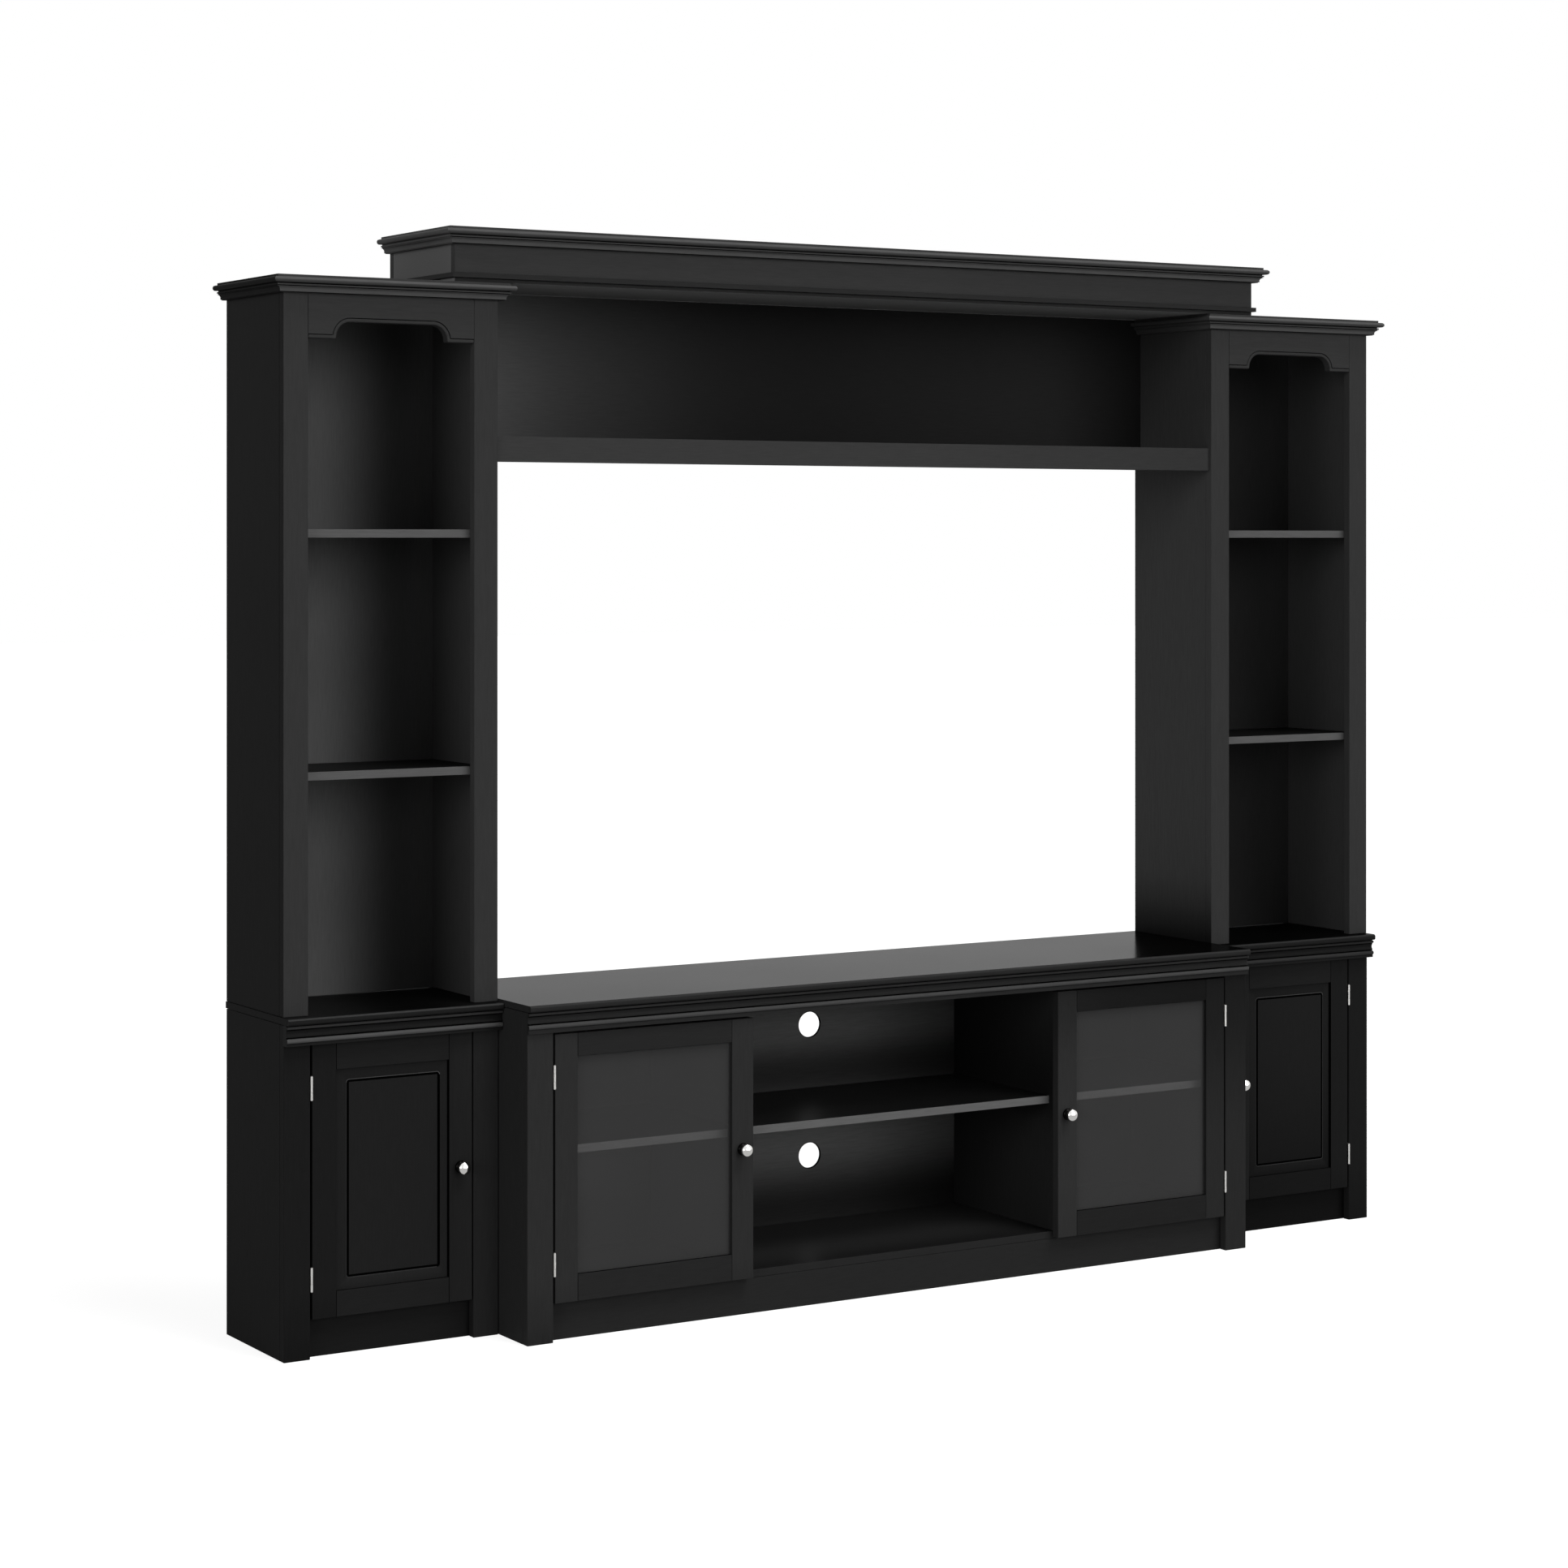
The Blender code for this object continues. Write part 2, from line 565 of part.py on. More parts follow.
def make_bridge(paint):
    """The shelf between the towers, with its apron and back."""
    between = (-SPAN_HALF + FIT, SPAN_HALF - FIT)
    apron_front = TOWER_FRONT + APRON_SETBACK
    apron_back = apron_front + BOARD
    shelf_bottom = BRIDGE_SHELF_LEVEL - BOARD
    make_board("bridge_apron", between, (apron_front, apron_back),
               (BRIDGE_SHELF_LEVEL - APRON_HEIGHT, BRIDGE_SHELF_LEVEL), paint)
    make_board("bridge_shelf", between, (apron_back + FIT, BRIDGE_BACK_FACE - FIT),
               (shelf_bottom, BRIDGE_SHELF_LEVEL), paint)
    make_board("bridge_back_panel", between, (BRIDGE_BACK_FACE, BRIDGE_BACK_FACE + BACK_THICK),
               (shelf_bottom, TOWER_TOP), paint)


def door_window(door):
    """X and Z range of a door frame's window."""
    left, right = ordered(door.side, door.free_edge, door.hinge_edge)
    return ((left + DOOR_STILE_WIDTH, right - DOOR_STILE_WIDTH),
            (DOOR_BOTTOM + door.bottom_rail, door.top - DOOR_TOP_RAIL_HEIGHT))


def door_slot(door, clear):
    """X and Z range of the slot round a door's window, less a clearance."""
    window_x, window_z = door_window(door)
    reach = SLOT_DEPTH - clear
    return (window_x[0] - reach, window_x[1] + reach), (window_z[0] - reach, window_z[1] + reach)


def add_door_frame(bm, door):
    """A glued frame of stiles and rails, with a slot for its glass or panel."""
    outside = (ordered(door.side, door.free_edge, door.hinge_edge), (DOOR_BOTTOM, door.top))
    window = door_window(door)
    slot = door_slot(door, 0)
    back = door.front + FRAME_THICK
    slot_front = door.front + door.lip
    slot_back = slot_front + door.filling + 2 * FIT
    sections = ((outside, door.front), (window, door.front), (window, slot_front), (slot, slot_front),
                (slot, slot_back), (window, slot_back), (window, back), (outside, back))
    rings = []
    for ((left, right), (low, high)), depth in sections:
        corners = ((left, low), (right, low), (right, high), (left, high))
        rings.append([bm.verts.new((x, depth, z)) for x, z in corners])
    for near, far in zip(rings, rings[1:] + rings[:1]):
        for index in range(len(near)):
            follow = (index + 1) % len(near)
            bm.faces.new((near[index], near[follow], far[follow], far[index]))


def rounded_ring(x_range, z_range, inset, radius):
    """An inset rectangle (X, Z) with rounded corners."""
    left, right = x_range[0] + inset + radius, x_range[1] - inset - radius
    low, high = z_range[0] + inset + radius, z_range[1] - inset - radius
    points = []
    for turn, centre in enumerate(((right, high), (left, high), (left, low), (right, low))):
        points += arc(centre, (radius, radius), 90 * turn, 90 * turn + 90, GROOVE_CORNER_STEPS)
    return points


def add_grooved_panel(bm, x_range, z_range, face):
    """A flat panel with a routed groove set in from the frame's edge."""
    border = SLOT_DEPTH - FIT + PANEL_BORDER_WIDTH
    sections = (
        (0, PANEL_EDGE_RADIUS, face + PANEL_THICK),
        (0, PANEL_EDGE_RADIUS, face),
        (border, GROOVE_CORNER_RADIUS, face),
        (border + GROOVE_WIDTH / 2, GROOVE_CORNER_RADIUS - GROOVE_WIDTH / 2, face + GROOVE_DEPTH),
        (border + GROOVE_WIDTH, GROOVE_CORNER_RADIUS - GROOVE_WIDTH, face),
    )
    rings = [[bm.verts.new((x, depth, z)) for x, z in rounded_ring(x_range, z_range, inset, radius)]
             for inset, radius, depth in sections]
    for near, far in zip(rings, rings[1:]):
        for index in range(len(near)):
            follow = (index + 1) % len(near)
            bm.faces.new((near[index], near[follow], far[follow], far[index]))
    bm.faces.new(rings[0])
    bm.faces.new(rings[-1])


def knob_profile():
    """Distance from the door and radius along the knob: foot, stem and domed head."""
    head = KNOB_HEAD_DIAMETER / 2
    foot = KNOB_FOOT_DIAMETER / 2
    stem = KNOB_STEM_DIAMETER / 2
    widest = KNOB_REACH - KNOB_HEAD_THICK + KNOB_UNDERSIDE_THICK
    points = [(FIT, foot), (KNOB_FOOT_THICK, foot), (KNOB_FOOT_THICK, stem)]
    points += arc((widest, stem), (KNOB_UNDERSIDE_THICK, head - stem), 180, 90, KNOB_ARC_STEPS)
    points += arc((widest, 0), (KNOB_REACH - widest, head), 90, 0, KNOB_ARC_STEPS)[1:]
    return points


def make_knob(door, material):
    """A round knob in the middle of the door's free stile."""
    centre = Vector((door.side * (door.free_edge + DOOR_STILE_WIDTH / 2), door.front,
                     (DOOR_BOTTOM + door.top) / 2))
    profile = [(-length, radius) for length, radius in knob_profile()]
    return make_object(f"{door.name}_knob", lambda bm: add_turned(bm, profile, centre, "Y", KNOB_SIDES),
                       material, smooth=True)


def hinge_spans(door):
    """Bottom and top of a door's upper and lower hinge."""
    half = HINGE_LENGTH / 2
    middles = {"upper": door.top - HINGE_UPPER_INSET, "lower": DOOR_BOTTOM + HINGE_LOWER_INSET}
    return {which: (middle - half, middle + half) for which, middle in middles.items()}


def hinge_x(door):
    """X of a door's hinge axis, in the middle of the gap at its edge."""
    return door.side * (door.hinge_edge + HINGE_GAP / 2)


def middle_knuckle(low, high):
    """Bottom and top of a hinge's middle knuckle, which is the door's."""
    spare = (high - low) * (1 - MIDDLE_KNUCKLE_SHARE) / 2
    return low + spare, high - spare


def knuckle_outline(axis_x, front, side):
    """Plan view (X, Y) of a knuckle and the neck that joins it to its leaf."""
    start = math.degrees(math.acos(HINGE_FAR / KNUCKLE_RADIUS))
    end = math.degrees(math.acos(HINGE_NEAR / KNUCKLE_RADIUS)) - 360
    neck = HINGE_PROUD + LEAF_START + LEAF_THICK
    outline = arc((0, 0), (KNUCKLE_RADIUS, KNUCKLE_RADIUS), start, end, KNUCKLE_STEPS)
    outline += [(HINGE_NEAR, neck), (HINGE_FAR, neck)]
    return [(axis_x + side * x, front - HINGE_PROUD + y) for x, y in outline]


def add_pin(bm, axis_x, front, low, high, radius):
    """A round bar on a hinge's axis."""
    centre = Vector((axis_x, front - HINGE_PROUD, low))
    add_turned(bm, [(0, radius), (high - low, radius)], centre, "Z", PIN_SIDES)


def make_frame_hinge(door, which, steel):
    """The carcass's half of a hinge: its leaf, two knuckles and the pin."""
    name = f"{door.name}_{which}_hinge"
    low, high = hinge_spans(door)[which]
    axis_x = hinge_x(door)
    leaf_x = sorted((axis_x + door.side * HINGE_NEAR, axis_x + door.side * HINGE_FAR))
    leaf_y = (door.front + LEAF_START, door.front + LEAF_START + LEAF_DEPTH)
    leaf = make_board(name, leaf_x, leaf_y, (low, high), steel)
    outline = knuckle_outline(axis_x, door.front, door.side)
    middle = middle_knuckle(low, high)

    def knuckles(bm):
        for start, end in ((low, middle[0] - KNUCKLE_GAP), (middle[1] + KNUCKLE_GAP, high)):
            add_prism(bm, outline, "Z", start, end)

    add_boolean(leaf, f"{name}_knuckles", "UNION", knuckles)
    add_boolean(leaf, f"{name}_pin", "UNION", lambda bm: add_pin(
        bm, axis_x, door.front, low - PIN_OVERRUN, high + PIN_OVERRUN, PIN_RADIUS))


def add_door_hinges(frame, door):
    """The door's halves of its hinges, let into its edge and bored for the pins."""
    name = f"{door.name}_hinge"
    spans = hinge_spans(door).values()
    axis_x = hinge_x(door)
    outline = knuckle_outline(axis_x, door.front, -door.side)
    leaf_x = sorted((axis_x - door.side * HINGE_NEAR, axis_x - door.side * (HINGE_GAP / 2 + GLUE_LAP)))
    leaf_y = (door.front + LEAF_START, door.front + LEAF_START + LEAF_DEPTH)

    def leaves(bm):
        for span in spans:
            add_block(bm, leaf_x, leaf_y, span)

    def knuckles(bm):
        for low, high in spans:
            add_prism(bm, outline, "Z", *middle_knuckle(low, high))

    def bores(bm):
        for low, high in spans:
            add_pin(bm, axis_x, door.front, low - CUT_OVERRUN, high + CUT_OVERRUN, PIN_BORE_RADIUS)

    add_boolean(frame, f"{name}_leaves", "UNION", leaves)
    add_boolean(frame, f"{name}_knuckles", "UNION", knuckles)
    add_boolean(frame, f"{name}_bore_cutter", "DIFFERENCE", bores)


def all_doors():
    """The two glazed doors of the console and the two panelled doors of the piers."""
    doors = []
    for label, side in SIDES:
        doors.append(Door(
            name=f"glass_door_{label}", glazed=True, side=side, free_edge=CONSOLE_BAY_HALF - DOOR_BAY_REVEAL,
            hinge_edge=CONSOLE_HALF - CONSOLE_STILE_WIDTH - HINGE_GAP, front=CONSOLE_FRONT,
            top=CONSOLE_DOOR_TOP, bottom_rail=GLASS_DOOR_BOTTOM_RAIL_HEIGHT, lip=GLASS_LIP_THICK,
            filling=GLASS_THICK))
        doors.append(Door(
            name=f"panel_door_{label}", glazed=False, side=side,
            free_edge=PIER_INNER + PIER_STILE_WIDTH + DOOR_SIDE_GAP,
            hinge_edge=PIER_OUTER - PIER_STILE_WIDTH - HINGE_GAP, front=PIER_FRONT,
            top=PIER_DOOR_TOP, bottom_rail=PANEL_DOOR_BOTTOM_RAIL_HEIGHT, lip=PANEL_LIP_THICK,
            filling=PANEL_THICK))
    return doors


def make_door(door, materials):
    """A door with its filling and knob, on its hinge axis, and the carcass's hinge halves."""
    paint, glass, chrome, steel = materials
    frame = make_object(f"{door.name}_frame", lambda bm: add_door_frame(bm, door), paint)
    add_door_hinges(frame, door)
    for which in hinge_spans(door):
        make_frame_hinge(door, which, steel)

    face = door.front + door.lip + FIT
    fill_x, fill_z = door_slot(door, FIT)
    if door.glazed:
        filling = make_board(f"{door.name}_pane", fill_x, (face, face + door.filling), fill_z, glass)
    else:
        filling = make_object(f"{door.name}_panel",
                              lambda bm: add_grooved_panel(bm, fill_x, fill_z, face), paint)
    knob = make_knob(door, chrome)
    axis = make_axis(f"{door.name}_axis", Vector((hinge_x(door), door.front - HINGE_PROUD, DOOR_BOTTOM)))
    hang_on(axis, (frame, filling, knob))


def main():
    clear_scene()
    paint = make_material("black_paint", PAINT_COLOUR, PAINT_ROUGHNESS)
    glass = make_material("clear_glass", GLASS_COLOUR, GLASS_ROUGHNESS, alpha=GLASS_ALPHA)
    chrome = make_material("chrome", CHROME_COLOUR, CHROME_ROUGHNESS, metallic=1.0)
    steel = make_material("hinge_steel", STEEL_COLOUR, STEEL_ROUGHNESS, metallic=1.0)
    make_console(paint)
    for label, side in SIDES:
        make_pier(label, side, paint)
        make_tower(label, side, paint)
    make_cornice(paint)
    make_bridge(paint)
    for door in all_doors():
        make_door(door, (paint, glass, chrome, steel))


main()
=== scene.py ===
"""Looks of a black painted wall unit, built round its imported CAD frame."""
import json
import math

import bmesh
import bpy
from mathutils import Matrix, Vector


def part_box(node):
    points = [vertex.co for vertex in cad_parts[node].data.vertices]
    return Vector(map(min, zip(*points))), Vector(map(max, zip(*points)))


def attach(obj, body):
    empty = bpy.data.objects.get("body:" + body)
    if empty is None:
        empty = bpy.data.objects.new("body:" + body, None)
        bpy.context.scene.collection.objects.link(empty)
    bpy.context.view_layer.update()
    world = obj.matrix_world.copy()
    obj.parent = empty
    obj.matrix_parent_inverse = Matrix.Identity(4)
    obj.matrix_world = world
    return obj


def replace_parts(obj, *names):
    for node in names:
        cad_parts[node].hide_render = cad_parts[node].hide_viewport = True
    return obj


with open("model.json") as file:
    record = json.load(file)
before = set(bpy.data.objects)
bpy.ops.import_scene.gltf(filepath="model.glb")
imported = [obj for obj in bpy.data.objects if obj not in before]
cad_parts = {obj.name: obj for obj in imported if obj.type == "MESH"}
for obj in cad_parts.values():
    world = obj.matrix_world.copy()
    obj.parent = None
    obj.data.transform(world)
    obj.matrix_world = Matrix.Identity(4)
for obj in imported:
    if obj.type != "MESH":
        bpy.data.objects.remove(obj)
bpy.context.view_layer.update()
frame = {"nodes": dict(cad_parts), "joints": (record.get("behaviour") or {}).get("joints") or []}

NODES = frame["nodes"]
SIDES = (("left", -1), ("right", 1))
DOORS = ("glass_door_left", "glass_door_right", "panel_door_left", "panel_door_right")

# Camera, in metres and degrees
CAMERA_PLACE = (-3.6735, -5.6902, 1.450)
CAMERA_YAW = 31.575
CAMERA_LENS = 79.29
CAMERA_SHIFT_Y = -0.1569

# Rounded edges: their widths, and the angle from which an edge is rounded
EDGE = 0.0009
STILE_EDGE = 0.0012
FINE_EDGE = 0.0005
NOSE_EDGE = 0.0003
TRIM_EDGE = 0.0002
HAIR_EDGE = 0.0001
EDGE_ANGLE = 32

# Gaps between boards, and their thickness
GAP = 0.0003
HAIR_GAP = 0.0001
FRAME_THICK = 0.018
BOARD = 0.015

# Paint, by the part that it is on. Most parts are lit and shaded copies of one black lacquer, their tones
# painted light and shade
TONES = {
    "tower": 0.0290,
    "side": 0.0150,
    "tower_right_side": 0.0395,
    "console_side": 0.0228,
    "tower_inner": 0.0470,
    "tower_left_back": 0.0860,
    "tower_right_back": 0.0240,
    "tower_shelf": 0.0040,
    "crown": 0.0420,
    "crown_return": 0.0130,
    "cornice_return": 0.0850,
    "bridge": 0.0340,
    "cornice": 0.0310,
    "cornice_end": 0.1100,
    # Painted light on the soffit's underside, painted shade on its front edge
    "soffit": 0.1500,
    "soffit_edge": 0.0180,
    "bridge_back": 0.0140,
    "pier": 0.0115,
    "pier_upright": 0.0092,
    "pier_stile": 0.0125,
    "pier_moulding": 0.0110,
    "console": 0.0168,
    "console_upright": 0.0225,
    "console_moulding": 0.0175,
    "console_top": 0.0040,
    "console_deck": 0.0350,
    "console_partition": 0.0168,
    "console_shelf": 0.0140,
    "console_back": 0.0420,
    # Painted highlights along the shelves' front edges, lightest where they show through the glass
    "shelf_highlight": 0.0820,
    "console_shelf_highlight": 0.0980,
    "console_inner_highlight": 0.1800,
    # Lit and shaded copies for single parts: painted light and shade
    "tower_right_inner": 0.0470,
    "pier_left_upright": 0.0092,
    "pier_right_panel": 0.0112,
    "pier_left_deck": 0.0062,
    "pier_right_deck": 0.0008,
    "pier_left_plinth": 0.0088,
    "pier_right_plinth": 0.0052,
    "pier_right_foot": 0.0075,
    "console_right_foot": 0.0138,
    "crown_right_return": 0.0420,
    "console_right_upright": 0.0190,
    "console_door_upright": 0.0262,
    "console_right_rail": 0.0168,
    # Painted shade lines in grooves, quirks and joints, and painted highlights on beads, noses and rims
    "painted_shade_line": 0.0010,
    "console_bead": 0.0270,
    "console_bright": 0.0480,
    "pier_left_bead": 0.0330,
    "pier_left_bright": 0.0620,
    "pier_right_bead": 0.0230,
    "pier_right_bright": 0.0260,
    # Painted highlight, shade and light in bands down the crowns' fronts
    "crown_bright": 0.0750,
    "crown_shade": 0.0480,
    "crown_cove": 0.0680,
}
SHEENS = {"console_top": 0.0050, "console_shelf": 0.03, "side": 0.003, "console_side": 0.006,
          "crown_return": 0.002, "cornice_return": 0.002, "crown_right_return": 0.002, "crown": 0.002,
          "crown_bright": 0.002, "crown_shade": 0.002, "crown_cove": 0.002, "painted_shade_line": 0.001,
          "pier_moulding": 0.01, "pier_left_bead": 0.006, "pier_left_bright": 0.006, "pier_right_bead": 0.006,
          "pier_right_bright": 0.006, "console_moulding": 0.01, "console_bead": 0.01, "console_bright": 0.01,
          "pier_left_deck": 0.006, "pier_right_deck": 0.006}
PLAIN_SHEEN = 0.012
ROUGHNESSES = {"console_top": (0.16, 0.20)}
PLAIN_ROUGHNESS = (0.30, 0.40)
# Panels whose shading belongs to the front face alone, and the tone behind
FRONT_ONLY = ("tower_left_back", "tower_right_back", "bridge_back", "console_back")
REAR_TONE = 0.018
FORWARD = -0.5
# Painted light and shade: how the paint's tone changes along an axis, to follow where light falls and shade
# gathers; place in metres, share of the tone
FADES = {
    "tower": (("Z", ((1.850, 1.0), (1.872, 1.12), (1.886, 1.45))),),
    "cornice": (("Z", ((1.955, 1.0), (1.970, 1.10), (1.982, 1.35))),
                ("X", ((0.0, 1.0), (0.45, 0.93), (0.9, 0.88)))),
    "tower_left_back": (("X", ((-1.07, 1.0), (-1.01, 0.66), (-0.95, 0.29), (-0.90, 0.26), (-0.85, 0.65))),),
    "bridge_back": (("X", ((-0.82, 7.9), (-0.60, 3.1), (-0.35, 1.1), (-0.15, 0.62), (0.10, 0.62),
                           (0.50, 1.0))),),
    "console_back": (("X", ((-0.30, 0.98), (-0.12, 0.98), (-0.06, 0.98), (0.11, 1.0), (0.20, 0.76),
                            (0.30, 0.66))),
                     ("Z", ((0.07, 0.55), (0.121, 0.18), (0.17, 0.95), (0.22, 2.7), (0.27, 2.9), (0.32, 1.2),
                            (0.365, 0.36), (0.41, 0.60), (0.45, 2.4), (0.49, 2.5), (0.54, 1.5)))),
    "tower_right_inner": (("Z", ((0.607, 0.12), (0.635, 0.25), (0.68, 0.62), (0.75, 1.20), (1.10, 1.0),
                                 (1.60, 1.0), (1.72, 0.72), (1.90, 0.72))),),
    "tower_right_back": (("X", ((0.84, 0.72), (1.05, 0.72), (1.16, 0.8), (1.23, 1.9))),),
    "tower_right_side": (("Y", ((-0.06, 1.0), (0.09, 1.0), (0.14, 1.3), (0.19, 2.2))),),
    "pier_left_deck": (("X", ((-1.21, 1.0), (-1.11, 0.7), (-1.03, 0.2), (-0.95, 0.25), (-0.88, 0.6))),),
    "pier_right_panel": (("Z", ((0.07, 0.50), (0.18, 0.70), (0.33, 0.95), (0.50, 1.0))),),
    "pier_upright": (("Z", ((0.0, 0.75), (0.06, 0.85), (0.14, 1.0))),),
    "console_upright": (("Z", ((0.0, 0.70), (0.05, 0.85), (0.12, 1.0))),),
    "console_top": (("X", ((0.45, 1.0), (0.60, 0.10))),),
    "console_partition": (("Z", ((0.22, 1.0), (0.29, 0.90), (0.325, 0.42), (0.40, 0.45), (0.48, 0.68),
                                 (0.56, 0.95))),),
    "bridge": (("X", ((0.10, 1.0), (0.50, 0.90), (0.80, 0.82))),),
    "console_shelf": (("Y", ((-0.155, 0.25), (-0.10, 0.35), (-0.02, 0.75), (0.08, 1.0))),),
    "console_deck": (("Y", ((-0.175, 0.20), (-0.10, 0.28), (-0.02, 0.70), (0.08, 1.0))),),
    "pier_left_upright": (("X", ((-0.965, 1.0), (-0.93, 1.15), (-0.905, 1.45), (-0.878, 1.75),
                                 (-0.826, 3.0))),),
    "console_right_upright": (("Z", ((0.23, 1.0), (0.31, 0.90), (0.40, 0.70), (0.50, 0.52), (0.56, 0.48))),),
    "console_door_upright": (("Z", ((0.07, 0.85), (0.12, 0.95), (0.27, 1.0), (0.43, 0.87), (0.49, 0.66),
                                    (0.54, 0.58))),),
    "console_right_rail": (("X", ((0.35, 0.66), (0.52, 0.50), (0.70, 0.45))),),
}


def node_tree(name):
    """A new material, its nodes, its links and its shader."""
    material = bpy.data.materials.new(name)
    material.use_nodes = True
    tree = material.node_tree
    return material, tree.nodes, tree.links, tree.nodes["Principled BSDF"]


def noise(nodes, links, vector, scale, detail):
    """A noise texture."""
    texture = nodes.new("ShaderNodeTexNoise")
    texture.inputs["Scale"].default_value = scale
    texture.inputs["Detail"].default_value = detail
    links.new(vector, texture.inputs["Vector"])
    return texture


def combine(nodes, links, operation, *values):
    """A math node; each value is a socket or a number."""
    node = nodes.new("ShaderNodeMath")
    node.operation = operation
    for index, value in enumerate(values):
        if isinstance(value, float):
            node.inputs[index].default_value = value
        else:
            links.new(value, node.inputs[index])
    return node.outputs["Value"]


def spread(nodes, links, value, low, high):
    """Map a value between 0 and 1 onto a range."""
    place = nodes.new("ShaderNodeMapRange")
    place.inputs["To Min"].default_value = low
    place.inputs["To Max"].default_value = high
    links.new(value, place.inputs["Value"])
    return place.outputs["Result"]


def shade_off(nodes, links, coordinates, colour, fade):
    """Multiply a colour by a share that changes along one axis."""
    axis, stops = fade
    split = nodes.new("ShaderNodeSeparateXYZ")
    links.new(coordinates.outputs["Object"], split.inputs["Vector"])
    place = nodes.new("ShaderNodeMapRange")
    start, end = stops[0][0], stops[-1][0]
    place.inputs["From Min"].default_value = start
    place.inputs["From Max"].default_value = end
    links.new(split.outputs[axis], place.inputs["Value"])
    share = nodes.new("ShaderNodeValToRGB")
    share.color_ramp.interpolation = "B_SPLINE" if len(stops) > 3 else "EASE"
    top = max(factor for _, factor in stops)
    for index, (spot, factor) in enumerate(stops):
        if index in (0, len(stops) - 1):
            stop = share.color_ramp.elements[-1 if index else 0]
        else:
            stop = share.color_ramp.elements.new((spot - start) / (end - start))
        stop.color = (factor / top, factor / top, factor / top, 1)
    links.new(place.outputs["Result"], share.inputs["Fac"])
    blend = nodes.new("ShaderNodeVectorMath")
    blend.operation = "MULTIPLY"
    links.new(colour, blend.inputs[0])
    links.new(share.outputs["Color"], blend.inputs[1])
    gain = nodes.new("ShaderNodeVectorMath")
    gain.operation = "SCALE"
    gain.inputs["Scale"].default_value = top
    links.new(blend.outputs["Vector"], gain.inputs[0])
    return gain.outputs["Vector"]


def front_only(nodes, links, coordinates, plain, faded, share):
    """Keep the shaded-off colour on the faces that look forward, and a plain one on the rest."""
    rear = nodes.new("ShaderNodeMixRGB")
    rear.blend_type = "MULTIPLY"
    rear.inputs["Fac"].default_value = 1.0
    rear.inputs["Color2"].default_value = (share, share, share, 1)
    links.new(plain, rear.inputs["Color1"])
    split = nodes.new("ShaderNodeSeparateXYZ")
    links.new(coordinates.outputs["Normal"], split.inputs["Vector"])
    forward = combine(nodes, links, "LESS_THAN", split.outputs["Y"], FORWARD)
    mix = nodes.new("ShaderNodeMixRGB")
    links.new(forward, mix.inputs["Fac"])
    links.new(rear.outputs["Color"], mix.inputs["Color1"])
    links.new(faded, mix.inputs["Color2"])
    return mix.outputs["Color"]


# Grain: scale across and along it, and its two tones as place and share
GRAIN_ACROSS = 420.0
GRAIN_ALONG = 26.0
GRAIN_TONES = ((0.32, 0.89), (0.70, 1.07))
PEEL_SHARE = 0.35


def lacquer(part, tone, grain):
    """Satin black lacquer over wood, with the grain just showing along one axis."""
    material, nodes, links, shader = node_tree(f"lacquer_{part}_{grain.lower()}")
    coordinates = nodes.new("ShaderNodeTexCoord")
    place = coordinates.outputs["Object"]
    mapping = nodes.new("ShaderNodeMapping")
    mapping.inputs["Scale"].default_value = [GRAIN_ALONG if axis == grain else GRAIN_ACROSS for axis in "XYZ"]
    links.new(place, mapping.inputs["Vector"])
    fibres = noise(nodes, links, mapping.outputs["Vector"], 1.0, 5.0)
    fibres.inputs["Roughness"].default_value = 0.62
    fibres.inputs["Distortion"].default_value = 0.35

    ramp = nodes.new("ShaderNodeValToRGB")
    for stop, (spot, share) in zip(ramp.color_ramp.elements, GRAIN_TONES):
        stop.position = spot
        stop.color = (tone * share, tone * share, tone * share, 1)
    links.new(fibres.outputs["Fac"], ramp.inputs["Fac"])
    colour = ramp.outputs["Color"]
    # Painted light and shade along the part's axes
    for fade in FADES.get(part, ()):
        colour = shade_off(nodes, links, coordinates, colour, fade)
    if part in FRONT_ONLY:
        colour = front_only(nodes, links, coordinates, ramp.outputs["Color"], colour, REAR_TONE / tone)
    links.new(colour, shader.inputs["Base Color"])

    cloud = noise(nodes, links, place, 3.5, 3.0)
    rough = spread(nodes, links, cloud.outputs["Fac"], *ROUGHNESSES.get(part, PLAIN_ROUGHNESS))
    links.new(rough, shader.inputs["Roughness"])
    shader.inputs["Specular IOR Level"].default_value = SHEENS.get(part, PLAIN_SHEEN)

    peel = noise(nodes, links, place, 700.0, 1.0)
    height = combine(nodes, links, "MULTIPLY_ADD", peel.outputs["Fac"], PEEL_SHARE, fibres.outputs["Fac"])
    bump = nodes.new("ShaderNodeBump")
    bump.inputs["Strength"].default_value = 0.18
    bump.inputs["Distance"].default_value = 0.0002
    links.new(height, bump.inputs["Height"])
    links.new(bump.outputs["Normal"], shader.inputs["Normal"])
    return material


# Greys of the pane's veil, a painted reflection
REFLECTION_VEIL_GREYS = (0.044, 0.049)


def clear_glass():
    """Clear pane with a faint grey veil, a little uneven; the veil is a painted reflection."""
    material, nodes, links, shader = node_tree("pane_glass")
    coordinates = nodes.new("ShaderNodeTexCoord")
    veil_patches = noise(nodes, links, coordinates.outputs["Object"], 9.0, 2.0)
    veil = nodes.new("ShaderNodeValToRGB")
    for stop, grey in zip(veil.color_ramp.elements, REFLECTION_VEIL_GREYS):
        stop.color = (grey, grey, grey, 1)
    links.new(veil_patches.outputs["Fac"], veil.inputs["Fac"])
    links.new(veil.outputs["Color"], shader.inputs["Base Color"])
    shader.inputs["Alpha"].default_value = 0.45
    shader.inputs["Roughness"].default_value = 0.12
    shader.inputs["Specular IOR Level"].default_value = 0.06
    return material


